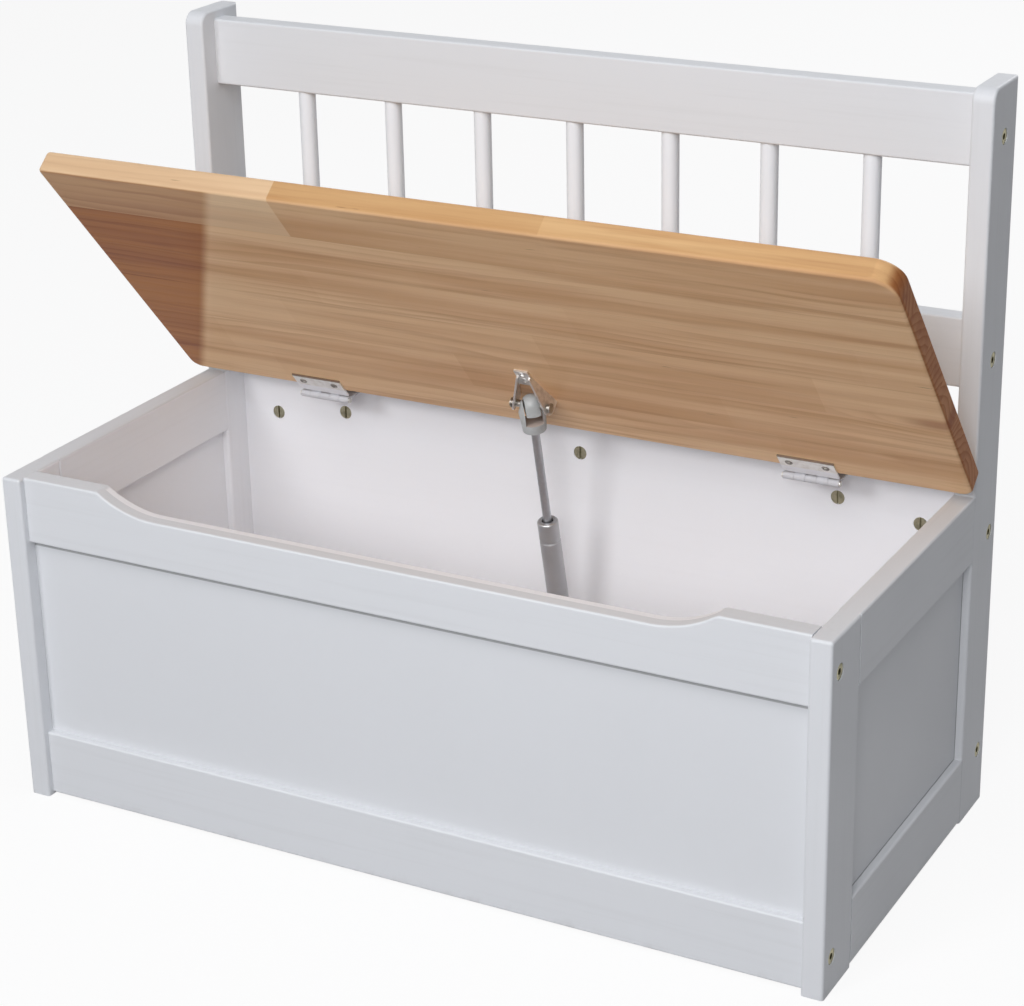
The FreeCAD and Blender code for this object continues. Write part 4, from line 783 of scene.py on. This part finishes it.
glue_line = pine_step("PINGPONG", pine_step("SUBTRACT", forward, STAVE_START), STAVE_WIDTH / 2)
wood = stained(wood, resin_marks, RESIN_SHARE, RESIN)
wood = stained(wood, pine_mask(knot_away, *KNOT_CORE), KNOT_SHARE, KNOT)
wood = stained(wood, pine_mask(glue_line, *GLUE_LINE), GLUE_SHARE, RESIN)
end_facing = pine_mask(pine_step("ABSOLUTE", facing["X"]), *END_MARK)
end_wood = pine_mix(1.0, stained(wood, ring_dark, END_RING_SHARE, LATEWOOD), END_GRAIN, "MULTIPLY")
wood = pine_mix(end_facing, wood, end_wood)
varnish_rough = pine_step("MULTIPLY_ADD", end_facing, END_ROUGH, VARNISH_ROUGH)
varnish_rough = pine_step("MULTIPLY_ADD", ring_dark, RING_ROUGH, varnish_rough)
varnish_height = pine_step("MULTIPLY_ADD", fibres, FIBRE_RELIEF, ring_dark)
give_surface(pine_staves, pine_out, wood, varnish_rough, varnish_height)

pine, pine_tree, pine_shader, pine_where, pine_bump = start_material("varnished_pine", VARNISH_RELIEF)
staves = add_node(pine_tree, "ShaderNodeGroup",
                  {"Lid Position": in_lid_frame(pine_tree, pine_where["Object"]),
                   "Facing": pine_where["Normal"]}, node_tree=pine_staves)
wear_surface(pine_tree, pine_shader, pine_bump, staves)
pine_shader.inputs["Specular IOR Level"].default_value = VARNISH_SHINE
dress(pine, "lid")


# Stay brackets
# Folded sheet steel with a bright nickel plate. The upper one is a fork under the lid and the lower
# one a pair of ears on the back wall, each with a plain headed pin for the stay.

BRACKET_SHEET = 0.0015
BRACKET_SCREWS = (0.0795, 0.072)
WALL_SCREWS = (0.065, 0.075)
BRIGHT_NICKEL = (0.82, 0.80, 0.78, 1)
BRIGHT_TARNISH_AND_REFLECTION = (0.64, 0.62, 0.595, 1)
BRUSHED_BACK = (1200, 90, 1200)

# Its darker blotches are partly tarnish and partly painted dark reflection.
bright_nickel = plated("bright_nickel", BRIGHT_NICKEL, BRIGHT_TARNISH_AND_REFLECTION, roughness=0.36, stretch=BRUSHED_BACK)
dress(bright_nickel, "lid_bracket", "wall_bracket")
dress(dull_nickel, "lid_bracket_pin", "wall_bracket_pin")
bracket_places = [open_with_lid @ Matrix.Translation((0, -reach, LID_UNDER - BRACKET_SHEET))
                  for reach in BRACKET_SCREWS]
screws("bracket_screws", "lid_bracket_screws", "lid_assembly", bright_nickel,
       bracket_places)
wall_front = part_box("wall_bracket_screws")[0].y
into_wall = Matrix.Rotation(-math.pi / 2, 4, "X")
wall_places = [Matrix.Translation((0, wall_front, z)) @ into_wall for z in WALL_SCREWS]
screws("wall_screws", "wall_bracket_screws", "carcass", bright_nickel, wall_places)
bpy.data.objects.remove(wood_screw)


# Stay cylinder and rod
# A drawn steel tube, painted silver grey and rolled in at its top over a black guide, and a ground
# steel rod that slides through it with a plastic piston on its end.

SILVER = (0.52, 0.52, 0.53, 1)
SILVER_SHADE = (0.42, 0.42, 0.43, 1)
SILVER_ROUGH = 0.26
SILVER_METAL = 0.75
FLAKE_SCALE = 1900
FLAKE_ROUGH = 0.12
SHADE_SCALE = 55
SILVER_RELIEF = 0.00003
GROUND_STEEL = (0.50, 0.505, 0.525, 1)
GROUND_SHADE = (0.46, 0.465, 0.485, 1)
BRUSHED_UP = (1500, 1500, 120)
BLACK = (0.025, 0.025, 0.026, 1)
BLACK_WORN = (0.04, 0.04, 0.04, 1)
MOULD_SCALE = 1500
MOULD_RELIEF = 0.00003
HANDLED_SCALE = 130
HANDLED_MARK = (0.4, 0.7)
HANDLED_SHINE = 0.08

silver_paint, tube_tree, tube_shader, tube_where, tube_bump = start_material("silver_paint", SILVER_RELIEF)
flake = cloud(tube_tree, tube_where["Object"], FLAKE_SCALE, detail=2)
shading = cloud(tube_tree, tube_where["Object"], SHADE_SCALE, detail=3)
tube_colour = mix_colours(tube_tree, shading, SILVER, SILVER_SHADE)
tube_rough = calc(tube_tree, "MULTIPLY_ADD", flake, FLAKE_ROUGH, SILVER_ROUGH)
tube_tree.links.new(tube_colour, tube_shader.inputs["Base Color"])
tube_tree.links.new(tube_rough, tube_shader.inputs["Roughness"])
tube_tree.links.new(flake, tube_bump.inputs["Height"])
tube_shader.inputs["Metallic"].default_value = SILVER_METAL
dress(silver_paint, "stay_cylinder")
dress(plated("rod_steel", GROUND_STEEL, GROUND_SHADE, roughness=0.36, stretch=BRUSHED_UP), "stay_rod")


def moulded(name, colour, worn, roughness):
    """Moulded plastic with a fine grain and a little handling shine."""
    material, tree, shader, where, bump = start_material(name, MOULD_RELIEF)
    grain = cloud(tree, where["Object"], MOULD_SCALE, detail=2)
    handled = cloud(tree, where["Object"], HANDLED_SCALE, detail=4)
    handled = ramp_mask(tree, handled, *HANDLED_MARK)
    shine = calc(tree, "SUBTRACT", roughness, calc(tree, "MULTIPLY", handled, HANDLED_SHINE))
    tree.links.new(mix_colours(tree, handled, colour, worn), shader.inputs["Base Color"])
    tree.links.new(shine, shader.inputs["Roughness"])
    tree.links.new(grain, bump.inputs["Height"])
    return material


dress(moulded("black_plastic", BLACK, BLACK_WORN, roughness=0.5), "stay_guide", "stay_piston")


# Stay heads
# Moulded grey plastic. The lower head is a plain eye. The upper one is a collar with two cheeks, and
# a round barrel between them turns on the pin, over a window whose inner faces are painted brown, a
# painted reflection of the wood behind.

HEAD_SIDES = 64
TOOL_SIDES = 48
HEAD = 0.019
HEAD_DROP = 0.019
HEAD_DOME = 0.016
COLLAR_FOOT = 0.0165
DOME_STEPS = 8
DOME_STOP = 0.98
WINDOW = (0.0122, 0.0078)
WINDOW_DROP = 0.0045
WINDOW_TURN = math.radians(37)
WINDOW_MIDDLE = -WINDOW_DROP - WINDOW[1] / 2
WINDOW_REACH = 0.45 * HEAD
WINDOW_HALF = 0.52 * WINDOW[1]
SLIT = 0.0011
PIN_BORE = 0.0052
ROD_BORE = 0.0061
ROD_SEAT = 0.006
HEAD_EASE = 0.0004
HEAD_ANGLE = math.radians(38)
GREY = (0.44, 0.46, 0.46, 1)
GREY_WORN = (0.52, 0.54, 0.54, 1)
WINDOW_WOOD_REFLECTION = (0.50, 0.42, 0.375, 1)

upper_pin = Vector(joints["stay_pivot"]["pos_m"])
stay_line = Vector(joints["stay_slide"]["axis"])
stay_lean = math.atan2(-stay_line.y, stay_line.z)
at_upper_pin = Matrix.Translation(upper_pin) @ Matrix.Rotation(stay_lean, 4, "X")

cheek_rise = HEAD_DROP - WINDOW_DROP
deselect()
bpy.ops.mesh.primitive_cylinder_add(vertices=HEAD_SIDES, radius=HEAD / 2, depth=cheek_rise,
                                    location=(0, 0, cheek_rise / 2 - HEAD_DROP))
upper_head = bpy.context.object
upper_head.name = "stay_fork"
bpy.ops.object.transform_apply()
pick_faces(upper_head, -UP)
widen_faces(COLLAR_FOOT / HEAD, -HEAD_DROP)
pick_faces(upper_head, UP)
push_faces((0, 0, WINDOW_DROP))
widen_faces(HEAD_DOME / HEAD, 0)
for n in range(DOME_STEPS):
    step = DOME_STOP if n == DOME_STEPS - 1 else 1
    low = math.pi / 2 * n / DOME_STEPS
    high = math.pi / 2 * (n + step) / DOME_STEPS
    push_faces((0, 0, HEAD_DOME / 2 * (math.sin(high) - math.sin(low))))
    widen_faces(math.cos(high) / math.cos(low), HEAD_DOME / 2 * math.sin(high))


def box_tool(size, place):
    """A squared cutting tool, turned about the stay's line as the window is."""
    deselect()
    bpy.ops.mesh.primitive_cube_add(size=1, location=place)
    tool = bpy.context.object
    tool.scale = size
    bpy.ops.object.transform_apply()
    tool.data.transform(Matrix.Rotation(WINDOW_TURN, 4, "Z"))
    return tool


def round_tool(radius, length, place, turn):
    """A round cutting tool."""
    deselect()
    bpy.ops.mesh.primitive_cylinder_add(vertices=TOOL_SIDES, radius=radius, depth=length, location=place,
                                        rotation=turn)
    return bpy.context.object


cut_away(upper_head, box_tool((WINDOW[0], 2 * HEAD, WINDOW[1]), (0, 0, WINDOW_MIDDLE)))
for side in (-1, 1):
    slit_spot = (side * (WINDOW[0] - SLIT) / 2, 0, HEAD + WINDOW_MIDDLE)
    cut_away(upper_head, box_tool((SLIT, 2 * HEAD, 2 * HEAD), slit_spot))
cut_away(upper_head, round_tool(PIN_BORE / 2, 2 * HEAD, (0, 0, 0), (0, math.pi / 2, 0)))
cut_away(upper_head, round_tool(ROD_BORE / 2, 2 * ROD_SEAT, (0, 0, -HEAD_DROP), (0, 0, 0)))
round_edges(upper_head, HEAD_EASE, segments=3, angle=HEAD_ANGLE)

grey_plastic = moulded("grey_plastic", GREY, GREY_WORN, roughness=0.42)
upper_head.data.materials.append(grey_plastic)
upper_head.data.materials.append(moulded("window_wood_reflection", WINDOW_WOOD_REFLECTION, WINDOW_WOOD_REFLECTION, roughness=0.5))
# Faces inside the window take the brown: a painted reflection of the wood.
for face in upper_head.data.polygons:
    if face.center.xy.length < WINDOW_REACH and abs(face.center.z - WINDOW_MIDDLE) < WINDOW_HALF:
        face.material_index = 1
upper_head.data.transform(at_upper_pin)
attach(upper_head, "stay_rod_assembly")
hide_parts("stay_upper_head")
dress(grey_plastic, "stay_lower_head")


# Floor
# A plain white studio floor that runs past every edge of the picture and keeps the bench's shadow.
# What the camera sees of it is nearly pure white, and the light that it throws back is dim.

FLOOR_SIZE = 100
FLOOR_BOUNCE = (0.34, 0.34, 0.345, 1)
FLOOR_WHITE = (0.92, 0.92, 0.93, 1)
FLOOR_GLOW = 0.9
PURE_WHITE = (1, 1, 1, 1)

deselect()
bpy.ops.mesh.primitive_plane_add(size=FLOOR_SIZE, location=(0, 0, 0))
floor = bpy.context.object
floor.name = "studio_floor"
floor_paint = bpy.data.materials.new("studio_floor")
floor_paint.use_nodes = True
floor_tree = floor_paint.node_tree
floor_end = floor_tree.nodes["Material Output"]
floor_tree.nodes.remove(floor_tree.nodes["Principled BSDF"])


def seen_directly(tree):
    """1 for what the camera sees, also in metal or through glass, and 0 for light that bounces."""
    path = add_node(tree, "ShaderNodeLightPath").outputs
    either = calc(tree, "MAXIMUM", path["Is Camera Ray"], path["Is Glossy Ray"])
    return calc(tree, "MAXIMUM", either, path["Is Transmission Ray"])


bounce = add_node(floor_tree, "ShaderNodeBsdfDiffuse", {"Color": FLOOR_BOUNCE})
lit_white = add_node(floor_tree, "ShaderNodeBsdfDiffuse", {"Color": FLOOR_WHITE})
plain_white = add_node(floor_tree, "ShaderNodeEmission", {"Color": PURE_WHITE, "Strength": 1.0})
shown = add_node(floor_tree, "ShaderNodeMixShader",
                 {0: FLOOR_GLOW, 1: lit_white.outputs[0], 2: plain_white.outputs[0]})
floor_mix = add_node(floor_tree, "ShaderNodeMixShader",
                     {0: seen_directly(floor_tree), 1: bounce.outputs[0], 2: shown.outputs[0]})
floor_tree.links.new(floor_mix.outputs[0], floor_end.inputs["Surface"])
floor.data.materials.append(floor_paint)


# Light
# Two large soft lamps in front and above, the left one stronger, a small one over the front edge that
# reaches into the chest, one behind, and an even pale surround that fills the shade.

SURROUND = (0.95, 0.96, 1.0, 1)
SURROUND_STRENGTH = 0.225
LAMP_TINT = (0.975, 0.98, 1.0)
LAMP_AIM = Vector((0, 0, 0.2))
LAMPS = (("left_lamp", (-0.85, -2.85, 1.8), 1.0, 31),
         ("right_lamp", (0.92, -2.85, 1.6), 1.0, 25),
         ("top_lamp", (0.25, -0.9, 1.4), 0.8, 7),
         ("back_lamp", (0.3, 2.9, 1.8), 1.2, 24))

world = bpy.data.worlds.new("studio")
bpy.context.scene.world = world
world.use_nodes = True
world_tree = world.node_tree
world_tree.nodes.clear()
surround = add_node(world_tree, "ShaderNodeBackground", {"Color": SURROUND, "Strength": SURROUND_STRENGTH})
white_wall = add_node(world_tree, "ShaderNodeBackground", {"Color": PURE_WHITE, "Strength": 1.0})
world_mix = add_node(world_tree, "ShaderNodeMixShader",
                     {0: seen_directly(world_tree), 1: surround.outputs[0], 2: white_wall.outputs[0]})
world_end = add_node(world_tree, "ShaderNodeOutputWorld")
world_tree.links.new(world_mix.outputs[0], world_end.inputs["Surface"])

for lamp_name, lamp_spot, lamp_size, lamp_watts in LAMPS:
    lamp_data = bpy.data.lights.new(lamp_name, "AREA")
    lamp_data.shape = "DISK"
    lamp_data.size = lamp_size
    lamp_data.energy = lamp_watts
    lamp_data.color = LAMP_TINT
    lamp = bpy.data.objects.new(lamp_name, lamp_data)
    lamp.location = lamp_spot
    lamp.rotation_euler = (LAMP_AIM - lamp.location).to_track_quat("-Z", "Y").to_euler()
    bpy.context.scene.collection.objects.link(lamp)


# Camera
# It stands at the right front, a little above the back rest, as in the photograph. Its place and turn
# were fitted to the bench's corners.

CAMERA_SPOT = Vector((0.7949, -1.4228, 0.8834))
CAMERA_RIGHT = Vector((0.88, 0.4746, -0.0198))
CAMERA_UP = Vector((-0.1628, 0.3405, 0.9261))
CAMERA_LENS = 92.26
CAMERA_SENSOR = 36

camera_data = bpy.data.cameras.new("photo_camera")
camera_data.lens = CAMERA_LENS
camera_data.sensor_width = CAMERA_SENSOR
camera = bpy.data.objects.new("photo_camera", camera_data)
backwards = CAMERA_RIGHT.cross(CAMERA_UP).normalized()
camera_turn = Matrix((CAMERA_RIGHT, backwards.cross(CAMERA_RIGHT), backwards)).transposed().to_4x4()
camera.matrix_world = Matrix.Translation(CAMERA_SPOT) @ camera_turn
bpy.context.scene.collection.objects.link(camera)
bpy.context.scene.camera = camera
bpy.context.scene.view_settings.view_transform = "Standard"
